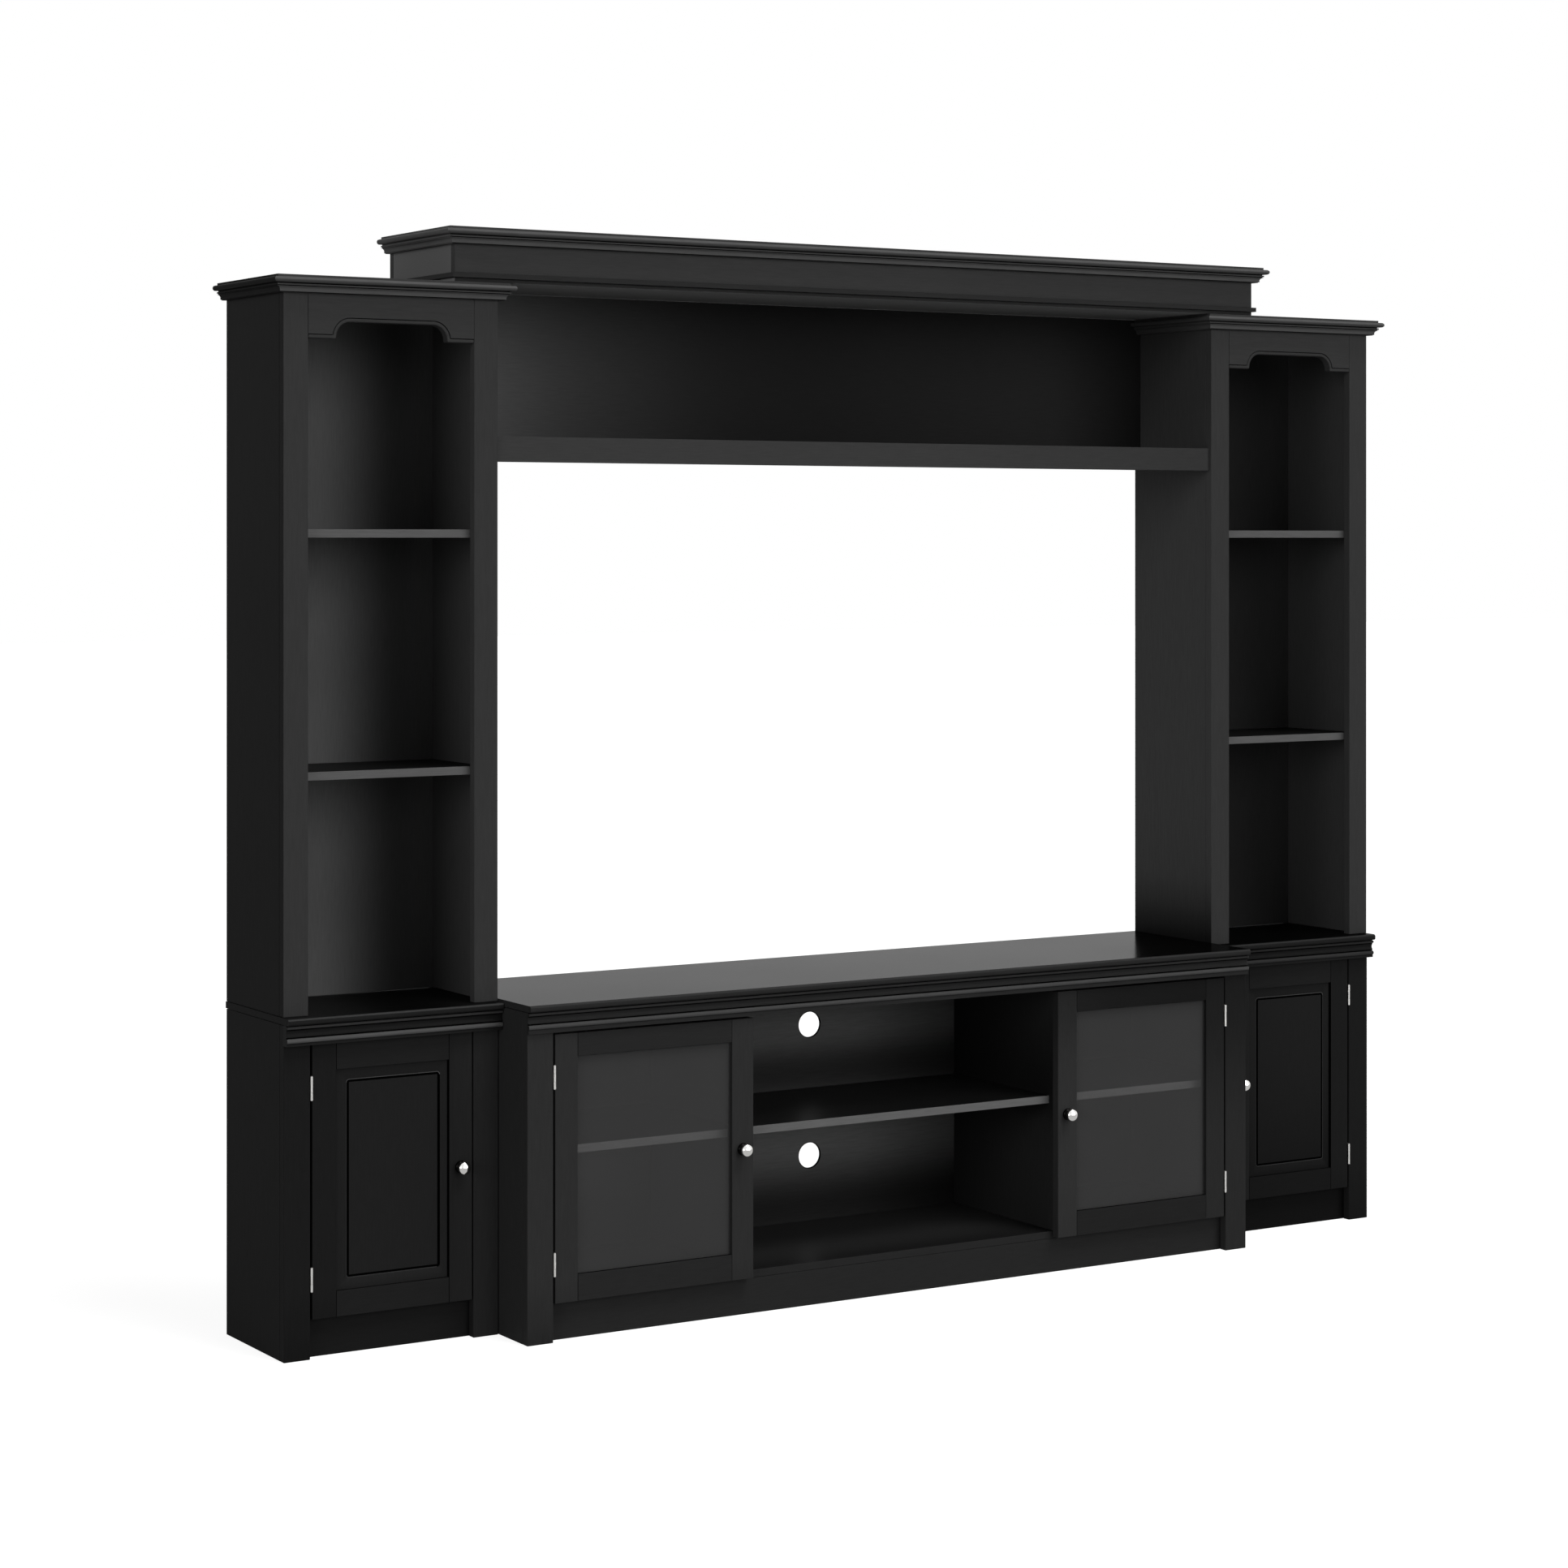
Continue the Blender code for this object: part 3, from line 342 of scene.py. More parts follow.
def plated(name, colour, roughness, wear_scale):
    """Bright plated metal with faint polishing marks."""
    material, nodes, links, shader = node_tree(name)
    coordinates = nodes.new("ShaderNodeTexCoord")
    marks = noise(nodes, links, coordinates.outputs["Object"], wear_scale, 3.0)
    rough = spread(nodes, links, marks.outputs["Fac"], roughness, roughness * 2)
    links.new(rough, shader.inputs["Roughness"])
    shader.inputs["Base Color"].default_value = (*colour, 1)
    shader.inputs["Metallic"].default_value = 1.0
    return material


PAINTS = {(part, grain): lacquer(part, tone, grain) for part, tone in TONES.items() for grain in "XYZ"}
GLASS = clear_glass()
CHROME = plated("knob_chrome", (0.80, 0.79, 0.77), 0.05, 90.0)
# The knob foot's near-black metal is a painted dark reflection and shadow
FOOT_DARK_REFLECTION = plated("knob_foot_dark_reflection", (0.0035, 0.0034, 0.0033), 0.16, 90.0)
STEEL = plated("hinge_plate", (0.74, 0.73, 0.71), 0.16, 400.0)


# Least share of a normal that looks along an axis, and the most height of a narrow face
SQUARE_ON = 0.9
NARROW = 0.005


def edge_modifiers(piece, width, segments=2):
    """Soften a piece's sharp edges."""
    bevel = piece.modifiers.new("edges", "BEVEL")
    bevel.width = width
    bevel.segments = segments
    bevel.limit_method = "ANGLE"
    bevel.angle_limit = math.radians(EDGE_ANGLE)
    bevel.harden_normals = True


def finish_piece(bm, name, body, material, width=EDGE, smooth_angle=EDGE_ANGLE):
    """Turn a bmesh into a piece that rides on a body."""
    bmesh.ops.recalc_face_normals(bm, faces=bm.faces)
    mesh = bpy.data.meshes.new(name)
    bm.to_mesh(mesh)
    bm.free()
    mesh.materials.append(material)
    mesh.shade_smooth()
    mesh.set_sharp_from_angle(angle=math.radians(smooth_angle))
    piece = bpy.data.objects.new(name, mesh)
    bpy.context.scene.collection.objects.link(piece)
    if width:
        edge_modifiers(piece, width)
    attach(piece, body)
    return piece


def board(name, body, low, high, material, width=EDGE):
    """A rectangular board with softened edges."""
    bm = bmesh.new()
    low, high = Vector(low), Vector(high)
    place = Matrix.Translation((low + high) / 2) @ Matrix.Diagonal((*(high - low), 1))
    bmesh.ops.create_cube(bm, size=1.0, matrix=place)
    return finish_piece(bm, name, body, material, width)


def run(name, body, outline, along, start, end, material, width=FINE_EDGE, slot="black_paint"):
    """A flat outline run along one axis; the outline is in the two other axes."""
    bm = bmesh.new()
    index = "XYZ".index(along)

    def spot(point, length):
        """A point of the outline at a length along the axis."""
        place = list(point)
        place.insert(index, length)
        return place

    first = [bm.verts.new(spot(p, start)) for p in outline]
    last = [bm.verts.new(spot(p, end)) for p in outline]
    cap_a = bm.faces.new(first)
    cap_b = bm.faces.new(last)
    bmesh.ops.bridge_loops(bm, edges=list(cap_a.edges) + list(cap_b.edges))
    return finish_piece(bm, name, body, material, width)


def side_paint(piece, axis, signs, paint):
    """Paint the faces that look along an axis."""
    index = len(piece.data.materials)
    piece.data.materials.append(paint)
    for polygon in piece.data.polygons:
        along = polygon.normal["XYZ".index(axis)]
        if any(along * sign > SQUARE_ON for sign in signs):
            polygon.material_index = index


def band_paint(piece, bands):
    """Paint the narrow faces whose middle lies between two levels."""
    vertices = piece.data.vertices
    for low, high, paint in bands:
        index = len(piece.data.materials)
        piece.data.materials.append(paint)
        for polygon in piece.data.polygons:
            levels = [vertices[corner].co.z for corner in polygon.vertices]
            if low < sum(levels) / len(levels) < high and max(levels) - min(levels) < NARROW:
                polygon.material_index = index


def arc(centre, radii, start, end, steps):
    """Points on an elliptical arc, both ends included."""
    points = []
    for index in range(steps + 1):
        turn = math.radians(start + (end - start) * index / steps)
        points.append((centre[0] + radii[0] * math.cos(turn), centre[1] + radii[1] * math.sin(turn)))
    return points


def ring(bm, centre, radius, steps):
    """A circle of vertices about an axis along Y."""
    turns = [math.tau * step / steps for step in range(steps)]
    return [bm.verts.new((centre[0] + radius * math.cos(turn), centre[1],
                          centre[2] + radius * math.sin(turn))) for turn in turns]


def join_loops(bm, near, far):
    """The faces between two loops of vertices."""
    faces = []
    for index in range(len(near)):
        follow = (index + 1) % len(near)
        faces.append(bm.faces.new((near[index], near[follow], far[follow], far[index])))
    return faces


# CAD boards that keep their shape
WELD_REACH = 0.00002


def keep_board(node, part, grain):
    """Give a CAD board its paint and soft edges."""
    piece = NODES[node]
    piece.data.materials.clear()
    piece.data.materials.append(PAINTS[(part, grain)])
    weld = piece.modifiers.new("weld", "WELD")
    weld.merge_threshold = WELD_REACH
    edge_modifiers(piece, EDGE)


# Kept boards take their part's tones, some of them lit and shaded copies with painted light and shade
KEPT = {
    "console": (("console_partition_left", "Z"),),
    "bridge": (("bridge_apron", "X"), ("bridge_shelf", "X")),
    "bridge_back": (("bridge_back_panel", "X"),),
    "tower_left_back": (("tower_left_back_panel", "Z"),),
    "tower_right_back": (("tower_right_back_panel", "Z"),),
    "pier": (("pier_left_back_panel", "Z"), ("pier_right_back_panel", "Z")),
    "console_back": (("console_back_panel", "X"),),
    "console_partition": (("console_partition_right", "Z"),),
}
for part, rows in KEPT.items():
    for node, grain in rows:
        keep_board(node, part, grain)


# Boards with a lipping along the front edge, whose light tone is a painted highlight
LIPPING = 0.003


def make_shelf(node, part, edge_part):
    """A board and its front lipping, painted light as a highlight."""
    low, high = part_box(node)
    shelf = board(f"{node}_board", "carcass", (low.x, low.y + LIPPING, low.z), high, PAINTS[(part, "X")])
    band = board(f"{node}_lipping", "carcass", low, (high.x, low.y + LIPPING - HAIR_GAP, high.z),
                 PAINTS[(edge_part, "X")], FINE_EDGE)
    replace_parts(shelf, node)
    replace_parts(band, node)


make_shelf("console_centre_shelf", "console_shelf", "console_shelf_highlight")
for node in ("console_side_shelf_left", "console_side_shelf_right"):
    make_shelf(node, "console_shelf", "console_inner_highlight")
for label, side in SIDES:
    for level in ("upper", "lower"):
        make_shelf(f"tower_{label}_{level}_shelf", "tower_shelf", "shelf_highlight")


# Soffit: a board, and an edging that stands proud round it
STRIP_LOW = 1.9203
STRIP_HIGH = 1.9290
STRIP_REACH = 0.007
low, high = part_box("cornice_soffit_board")
# The board's light tone is painted light on its underside; the edging and the board's front face take painted
# shade
soffit = board("cornice_soffit", "carcass", (low.x + STRIP_REACH, low.y + STRIP_REACH, low.z),
               (high.x - STRIP_REACH, high.y, STRIP_LOW - GAP), PAINTS[("soffit", "X")])
strip = board("cornice_soffit_edging", "carcass", (low.x, low.y, STRIP_LOW), (high.x, high.y, STRIP_HIGH),
              PAINTS[("soffit_edge", "X")], FINE_EDGE)
side_paint(soffit, "Y", (-1,), PAINTS[("soffit_edge", "X")])
for piece in (soffit, strip):
    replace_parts(piece, "cornice_soffit_board")


# Sides: a panel and a front stile, glued edge to face
def make_side(node, part, panel_part, at_low):
    """A side panel, at the low or the high side in X, and the stile on its front edge."""
    low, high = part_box(node)
    joint = low.y + FRAME_THICK
    left, right = (low.x, low.x + BOARD) if at_low else (high.x - BOARD, high.x)
    panel = board(f"{node}_panel", "carcass", (left, joint + GAP, low.z), (right, high.y, high.z),
                  PAINTS[(panel_part, "Z")])
    stile = board(f"{node}_stile", "carcass", low, (high.x, joint, high.z), PAINTS[(part, "Z")], STILE_EDGE)
    # The stile's sides take the panel's tone: painted light and shade on the faces that look sideways
    side_paint(stile, "X", (-1, 1), PAINTS[(panel_part, "Z")])
    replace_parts(panel, node)
    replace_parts(stile, node)


# Lit and shaded copies of the paint for single stiles and side panels: painted light and shade
UPRIGHTS = {"console_side_left": "console_upright", "console_side_right": "console_right_upright",
            "pier_left_inner_side": "pier_left_upright", "pier_left_outer_side": "pier_upright",
            "pier_right_inner_side": "pier_upright", "pier_right_outer_side": "pier_upright"}
PANEL_PARTS = {"console_side_left": "console_side", "console_side_right": "console_side",
               "tower_left_inner_side": "tower_inner", "tower_right_inner_side": "tower_right_inner",
               "tower_right_outer_side": "tower_right_side"}
for label, side in SIDES:
    for node, inner in ((f"console_side_{label}", False), (f"pier_{label}_inner_side", True),
                        (f"pier_{label}_outer_side", False), (f"tower_{label}_inner_side", True),
                        (f"tower_{label}_outer_side", False)):
        make_side(node, UPRIGHTS.get(node, "tower"), PANEL_PARTS.get(node, "side"), (side > 0) == inner)


# Bases: a deck and a plinth rail
PLINTH_HEIGHT = 0.066
# Decks and plinths take lit and shaded tones, and each deck's front face the plinth's: painted light and
# shade
for node, deck_part, plinth_part in (("console_base", "console_deck", "console"),
                                     ("pier_left_base", "pier", "pier_left_plinth"),
                                     ("pier_right_base", "pier", "pier_right_plinth")):
    low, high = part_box(node)
    deck = board(f"{node}_deck", "carcass", (low.x, low.y, PLINTH_HEIGHT + GAP), high,
                 PAINTS[(deck_part, "X")])
    rail = board(f"{node}_plinth", "carcass", low, (high.x, low.y + BOARD, PLINTH_HEIGHT),
                 PAINTS[(plinth_part, "X")])
    side_paint(deck, "Y", (-1,), PAINTS[(plinth_part, "X")])
    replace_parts(deck, node)
    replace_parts(rail, node)


# Tops: a slab, a round nose along its front, a moulding and a rail under it
SLAB_THICK = 0.012
NOSE_UPPER = 0.005
NOSE_LOWER = 0.004
NOSE_DEPTH = 0.0055
NECK_REACH = 0.0150
NECK_HEIGHT = 0.0016
BEAD_REACH = 0.0195
BEAD_DEPTH = 0.0030
UPPER_BEAD = 0.0052
QUIRK_REACH = 0.0145
QUIRK = 0.0012
COVE_EDGE = 0.0178
COVE_REACH = 0.0130
COVE_HEIGHT = 0.0125
LOW_QUIRK = 0.0028
LOWER_BEAD = 0.0080
FOOT_REACH = 0.0168
FOOT_STEP = 0.0012
FOOT_LINE = 0.0006
RAIL_LIFT = 0.002
# The painted highlight line on the nose, in distances below its top
NOSE_LINE = (0.0035, 0.0004)
CONSOLE_MOULDING = 0.0395
PIER_MOULDING = 0.037


def bead_face(top, height):
    """A half-round bead, from its top to its bottom."""
    root = BEAD_REACH - BEAD_DEPTH
    return arc((root, top - height / 2), (BEAD_REACH - root, height / 2), 90, -90, 10)


def moulding_levels(top):
    """The levels between the moulding's members, from its top down."""
    levels = [top]
    for height in (NECK_HEIGHT, UPPER_BEAD, QUIRK, COVE_HEIGHT, LOW_QUIRK, LOWER_BEAD):
        levels.append(levels[-1] - height)
    return levels


def moulding_face(top, bottom):
    """Reach and level down the moulding: neck, bead, quirk, cove, quirk, bead and foot."""
    top, bead_top, bead_low, cove_top, cove_low, lower_top, lower_low = moulding_levels(top)
    half = (cove_top - cove_low) / 2
    face = [(NECK_REACH, top), (NECK_REACH, bead_top)] + bead_face(bead_top, UPPER_BEAD)
    face += [(QUIRK_REACH, bead_low), (QUIRK_REACH, cove_top)]
    face += arc((COVE_EDGE, cove_top - half), (COVE_EDGE - COVE_REACH, half), 90, 270, 16)
    face += [(QUIRK_REACH, cove_low), (QUIRK_REACH, lower_top)] + bead_face(lower_top, LOWER_BEAD)
    face += [(FOOT_REACH - FOOT_STEP, lower_low), (FOOT_REACH - FOOT_STEP, lower_low - FOOT_LINE),
             (FOOT_REACH, lower_low - FOOT_LINE)]
    return face + [(FOOT_REACH, bottom)]


def make_top(node, part, place, front, setback, rail_x, moulding_height):
    """A slab with its nose, and the moulding and rail under it."""
    low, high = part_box(node)
    slab_low = high.z - SLAB_THICK
    joint = low.y + NOSE_DEPTH
    nose = [(joint, slab_low), (joint, high.z)]
    nose += arc((low.y + NOSE_UPPER, high.z - NOSE_UPPER), (NOSE_UPPER, NOSE_UPPER), 90, 180, 8)
    nose += arc((low.y + NOSE_LOWER, slab_low + NOSE_LOWER), (NOSE_LOWER, NOSE_LOWER), 180, 270, 8)
    face_paint = PAINTS[(f"{part}_moulding", "X")]
    top_part, end_part = ("console_top", "console_side") if part == "console" else (f"{place}_deck", "side")
    # Painted shade lines and painted highlights for the nose and the moulding's members
    dark, bead, bright = (PAINTS[(name, "X")] for name in ("painted_shade_line", f"{place}_bead", f"{place}_bright"))
    slab = board(f"{node}_slab", "carcass", (low.x, joint + HAIR_GAP, slab_low), high, face_paint, NOSE_EDGE)
    # The slab's top and ends take lit and shaded tones: painted light and shade
    side_paint(slab, "Z", (1,), PAINTS[(top_part, "X")])
    side_paint(slab, "X", (-1, 1), PAINTS[(end_part, "X")])
    front_edge = run(f"{node}_nose", "carcass", nose, "X", low.x, high.x, face_paint, NOSE_EDGE)
    band_paint(front_edge, ((high.z - NOSE_LINE[0], high.z - NOSE_LINE[1], bead),))
    bottom = slab_low - moulding_height
    top = slab_low - GAP
    outline = [(front - GAP, bottom), (front - GAP, top)]
    outline += [(front + setback - reach, level) for reach, level in moulding_face(top, bottom)]
    moulding = run(f"{node}_moulding", "carcass", outline, "X", low.x, high.x, face_paint, TRIM_EDGE)
    _, bead_top, bead_low, cove_top, cove_low, lower_top, lower_low = moulding_levels(top)
    # Painted shade in the neck, the quirks and along the foot, painted highlights on the two beads
    band_paint(moulding, (
        (bead_top, top, dark),
        (bead_low, bead_top, bead),
        (cove_top, bead_low, dark),
        (lower_top, cove_low, dark),
        (lower_low, lower_top, bright),
        (lower_low - FOOT_LINE, lower_low, dark),
    ))
    rail = board(f"{node}_rail", "carcass", (rail_x[0], front, bottom + RAIL_LIFT),
                 (rail_x[1], front + FRAME_THICK, slab_low - GAP), PAINTS[(part, "X")])
    for piece in (slab, front_edge, moulding, rail):
        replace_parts(piece, node)


console_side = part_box("console_side_right")[0]
RAIL_END = console_side.x - GAP
CONSOLE_SETBACK = 0.010
make_top("console_top", "console", "console", console_side.y, CONSOLE_SETBACK, (-RAIL_END, RAIL_END),
         CONSOLE_MOULDING)
for label, side in SIDES:
    inner_low, inner_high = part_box(f"pier_{label}_inner_side")
    outer_low, outer_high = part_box(f"pier_{label}_outer_side")
    if side > 0:
        ends = (inner_high.x + GAP, outer_low.x - GAP)
    else:
        ends = (outer_high.x + GAP, inner_low.x - GAP)
    make_top(f"pier_{label}_top", "pier", f"pier_{label}", inner_low.y, 0.0, ends, PIER_MOULDING)


# Crowns: a moulding along the front, mitred with a return at each end
LIP_REACH, LIP_LOW = 0.0178, 0.0045
NOSE_REACH, NOSE_LOW = 0.0270, 0.0142
NECK = ((0.0160, 0.0162), (0.0186, 0.0190), (0.0162, 0.0205))
COVE_TOP, COVE_LOW, COVE_DEEP = 0.0180, 0.0270, 0.0118
COVE_STEP = 0.0005
FOOT_LOW, CROWN_LOW, CROWN_FOOT = 0.0298, 0.0310, 0.0095
LIP_LINE = 0.0004


def crown_face(top):
    """Reach and level down the crown: lip, nose, neck with a fillet, cove and foot."""
    radius = (NOSE_LOW - LIP_LOW) / 2
    points = [(LIP_REACH, top), (LIP_REACH, top - LIP_LOW)]
    points += arc((NOSE_REACH - radius, top - LIP_LOW - radius), (radius, radius), 90, -90, 12)
    level = NOSE_LOW
    for reach, low in NECK:
        points += [(reach, top - level), (reach, top - low)]
        level = low
    points += [(COVE_TOP, top - level)]
    cove = (COVE_TOP - COVE_DEEP, COVE_LOW - level - COVE_STEP)
    points += arc((COVE_TOP, top - COVE_LOW), cove, 90, 180, 8)
    points += [(COVE_DEEP, top - FOOT_LOW), (CROWN_FOOT, top - FOOT_LOW)]
    return points + [(CROWN_FOOT, top - CROWN_LOW)]


def make_crown(name, node, parts, x_range, front, backs, top):
    """A front and two returns, each mitred at the front corners."""
    outline = [(GAP, top - CROWN_LOW), (GAP, top)] + crown_face(top)
    dark = PAINTS[("painted_shade_line", "X")]
    left, right = x_range
    runs = (
        ("left_return", parts[2], (left, backs[0], -1, 0), (left, front + HAIR_GAP, -1, -1)),
        ("front", parts[0], (left + HAIR_GAP, front, -1, -1), (right - HAIR_GAP, front, 1, -1)),
        ("right_return", parts[1], (right, front + HAIR_GAP, 1, -1), (right, backs[1], 1, 0)),
    )
    for label, part, start, end in runs:
        bm = bmesh.new()
        near, far = ([bm.verts.new((x + reach * out_x, y + reach * out_y, level)) for reach, level in outline]
                     for x, y, out_x, out_y in (start, end))
        join_loops(bm, near, far)
        bm.faces.new(near)
        bm.faces.new(far)
        paint = PAINTS[(part, "X" if label == "front" else "Y")]
        piece = finish_piece(bm, f"{name}_{label}", "carcass", paint, TRIM_EDGE)
        # Painted highlight, shade and light in bands down the front: dark lines under the lip, in the neck
        # and along the foot
        if label == "front":
            bright, shade, cove = (PAINTS[(f"crown_{tint}", "X")] for tint in ("bright", "shade", "cove"))
            middle = top - (LIP_LOW + NOSE_LOW) / 2
            band_paint(piece, (
                (top - LIP_LOW - LIP_LINE, top - LIP_LOW + HAIR_GAP, dark),
                (middle, top - LIP_LOW - LIP_LINE, bright),
                (top - NOSE_LOW, middle, shade),
                (top - NECK[0][1], top - NOSE_LOW, dark),
                (top - NECK[1][1], top - NECK[0][1], shade),
                (top - NECK[2][1], top - NECK[1][1], dark),
                (top - FOOT_LOW, top - NECK[2][1], cove),
                (top - CROWN_LOW, top - FOOT_LOW, dark),
            ))
        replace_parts(piece, node)


# The returns take lit and shaded tones: painted light and shade
RETURNS = {-1: "crown_return", 1: "crown_right_return"}
for label, side in SIDES:
    node = f"tower_{label}_cap"
    low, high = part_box(node)
    inner_low, inner_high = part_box(f"tower_{label}_inner_side")
    outer_low, outer_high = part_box(f"tower_{label}_outer_side")
    x_range = (min(inner_low.x, outer_low.x), max(inner_high.x, outer_high.x))
    front = inner_low.y
    inner_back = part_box("bridge_back_panel")[0].y - GAP
    backs = (high.y, inner_back) if side < 0 else (inner_back, high.y)
    make_crown(f"tower_{label}_crown", node, ("crown", "crown_return", RETURNS[side]), x_range, front, backs,
               high.z)
    top = board(f"tower_{label}_top_board", "carcass", (x_range[0], front, high.z - BOARD),
                (x_range[1], high.y, high.z), PAINTS[("tower", "X")])
    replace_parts(top, node)

# Cornice: frieze boards on four sides, a top board and the crown round them
low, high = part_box("cornice_box")
low.z = STRIP_HIGH + GAP
# The end boards take a lighter tone: painted light
cornice_boards = (
    ("cornice_front_board", "cornice", low, (high.x, low.y + BOARD, high.z - BOARD - GAP)),
    ("cornice_back_board", "cornice", (low.x, high.y - BOARD, low.z), (high.x, high.y, high.z - BOARD - GAP)),
    ("cornice_left_board", "cornice_end", (low.x, low.y + BOARD + GAP, low.z),
     (low.x + BOARD, high.y - BOARD - GAP, high.z - BOARD - GAP)),
    ("cornice_right_board", "cornice_end", (high.x - BOARD, low.y + BOARD + GAP, low.z),
     (high.x, high.y - BOARD - GAP, high.z - BOARD - GAP)),
    ("cornice_top_board", "cornice", (low.x, low.y, high.z - BOARD), high),
)
for name, part, near, far in cornice_boards:
    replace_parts(board(name, "carcass", near, far, PAINTS[(part, "X")]), "cornice_box")
# The crown's returns take a lighter tone: painted light
make_crown("cornice_crown_moulding", "cornice_crown", ("crown", "cornice_return", "cornice_return"),
           (low.x, high.x), low.y, (high.y, high.y), high.z)


# Arched rails, with a bead along the arch
ARCH_CORNER = 0.003
ARCH_RISE = 0.0305
ARCH_FLAT = 0.054
BEAD_WIDTH = 0.0065
BEAD_GROOVE = 0.0011
BEAD_ROUND = 0.0020


def arch_line(low, high, lift):
    """The arch line from left to right, set back into the board by a lift."""
    radius = ARCH_RISE - ARCH_CORNER
    centre = (low.x + ARCH_FLAT + radius, low.z + ARCH_CORNER)
    corner = (low.x + ARCH_FLAT - ARCH_CORNER, low.z + ARCH_CORNER)
    half = [(low.x, low.z + lift)]
    if lift:
        start = 180 - math.degrees(math.asin((lift - ARCH_CORNER) / (radius + lift)))
    else:
        half += arc(corner, (ARCH_CORNER, ARCH_CORNER), -90, 0, 4)[:-1]
        start = 180
    half += arc(centre, (radius + lift, radius + lift), start, 90, 14)
    return half + [(low.x + high.x - x, z) for x, z in reversed(half)]


for label, side in SIDES:
    node = f"tower_{label}_arched_rail"
    low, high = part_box(node)
    paint = PAINTS[("tower", "X")]
    plain = [(low.x, high.z)] + arch_line(low, high, BEAD_WIDTH + BEAD_GROOVE) + [(high.x, high.z)]
    rail = run(f"tower_{label}_arched_board", "carcass", plain, "Y", low.y, high.y, paint)
    band = arch_line(low, high, 0.0) + arch_line(low, high, BEAD_WIDTH)[::-1]
    bead = run(f"tower_{label}_arch_bead", "carcass", band, "Y", low.y, high.y, paint, BEAD_ROUND)
    for piece in (rail, bead):
        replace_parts(piece, node)


# Doors: the paint of the left and right stiles and of the top and bottom rails, lit and shaded copies with
# painted light and shade
DOOR_PARTS = {
    "glass_door_left": ("console_upright", "console_upright", "console", "console"),
    "glass_door_right": ("console_door_upright", "console_right_upright", "console_right_rail",
                         "console_right_foot"),
    "panel_door_left": ("pier_upright", "pier_left_upright", "pier", "pier"),
    "panel_door_right": ("pier_stile", "pier_upright", "pier", "pier_right_foot"),
}


# Doors: the slot for the pane or panel, how far that stands in it, and the rails from bottom to top
DOOR_STILE = 0.046
SLOT_CUT = 0.008
SLOT_DEPTH = 0.0077
RAIL_GAP = 0.0004
GLASS_RAILS = (0.049, 0.042)
PANEL_RAILS = (0.046, 0.047)

# Hinges: the leaf's two sides from the axis, its front and back from the door's front, and the knuckle
LEAF_NEAR, LEAF_FAR = 0.0005, 0.0017
LEAF_FRONT, LEAF_BACK = 0.0012, 0.0142
KNUCKLE_RADIUS = 0.0024
KNUCKLE_TAIL = 0.0042
KNUCKLE_SPARE = 0.32
LEAF_TRIM = 0.0006


def slotted(outer, inner, front, slot_front, slot_back, back):
    """A frame member's section as (across, depth) points: plain outside, slotted inside."""
    floor = inner - math.copysign(SLOT_CUT, inner - outer)
    return [(outer, front), (inner, front), (inner, slot_front), (floor, slot_front),
            (floor, slot_back), (inner, slot_back), (inner, back), (outer, back)]


def hinge_halves(door, side, front):
    """The middle knuckle and the leaf of a door's two hinges."""
    axis_x, axis_y = next(joint["pos_m"][:2] for joint in frame["joints"] if joint["child"] == door)
    start = math.degrees(math.acos(LEAF_FAR / KNUCKLE_RADIUS))
    end = math.degrees(math.acos(LEAF_NEAR / KNUCKLE_RADIUS)) - 360
    section = arc((0, 0), (KNUCKLE_RADIUS, KNUCKLE_RADIUS), start, end, 16)
    section += [(LEAF_NEAR, KNUCKLE_TAIL), (LEAF_FAR, KNUCKLE_TAIL)]
    outline = [(axis_x - side * x, axis_y + y) for x, y in section]
    left, right = sorted((axis_x - side * LEAF_NEAR, axis_x - side * LEAF_FAR))
    pieces = []
    for which in ("upper", "lower"):
        low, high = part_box(f"{door}_{which}_hinge")
        bottom, top = low.z + LEAF_TRIM, high.z - LEAF_TRIM
        spare = (top - bottom) * KNUCKLE_SPARE
        pieces.append(run(f"{door}_{which}_knuckle", door, outline, "Z", bottom + spare, top - spare, STEEL,
                          TRIM_EDGE, "hinge_steel"))
        pieces.append(board(f"{door}_{which}_leaf", door, (left, front + LEAF_FRONT, bottom),
                            (right, front + LEAF_BACK, top), STEEL, HAIR_EDGE))
    return pieces


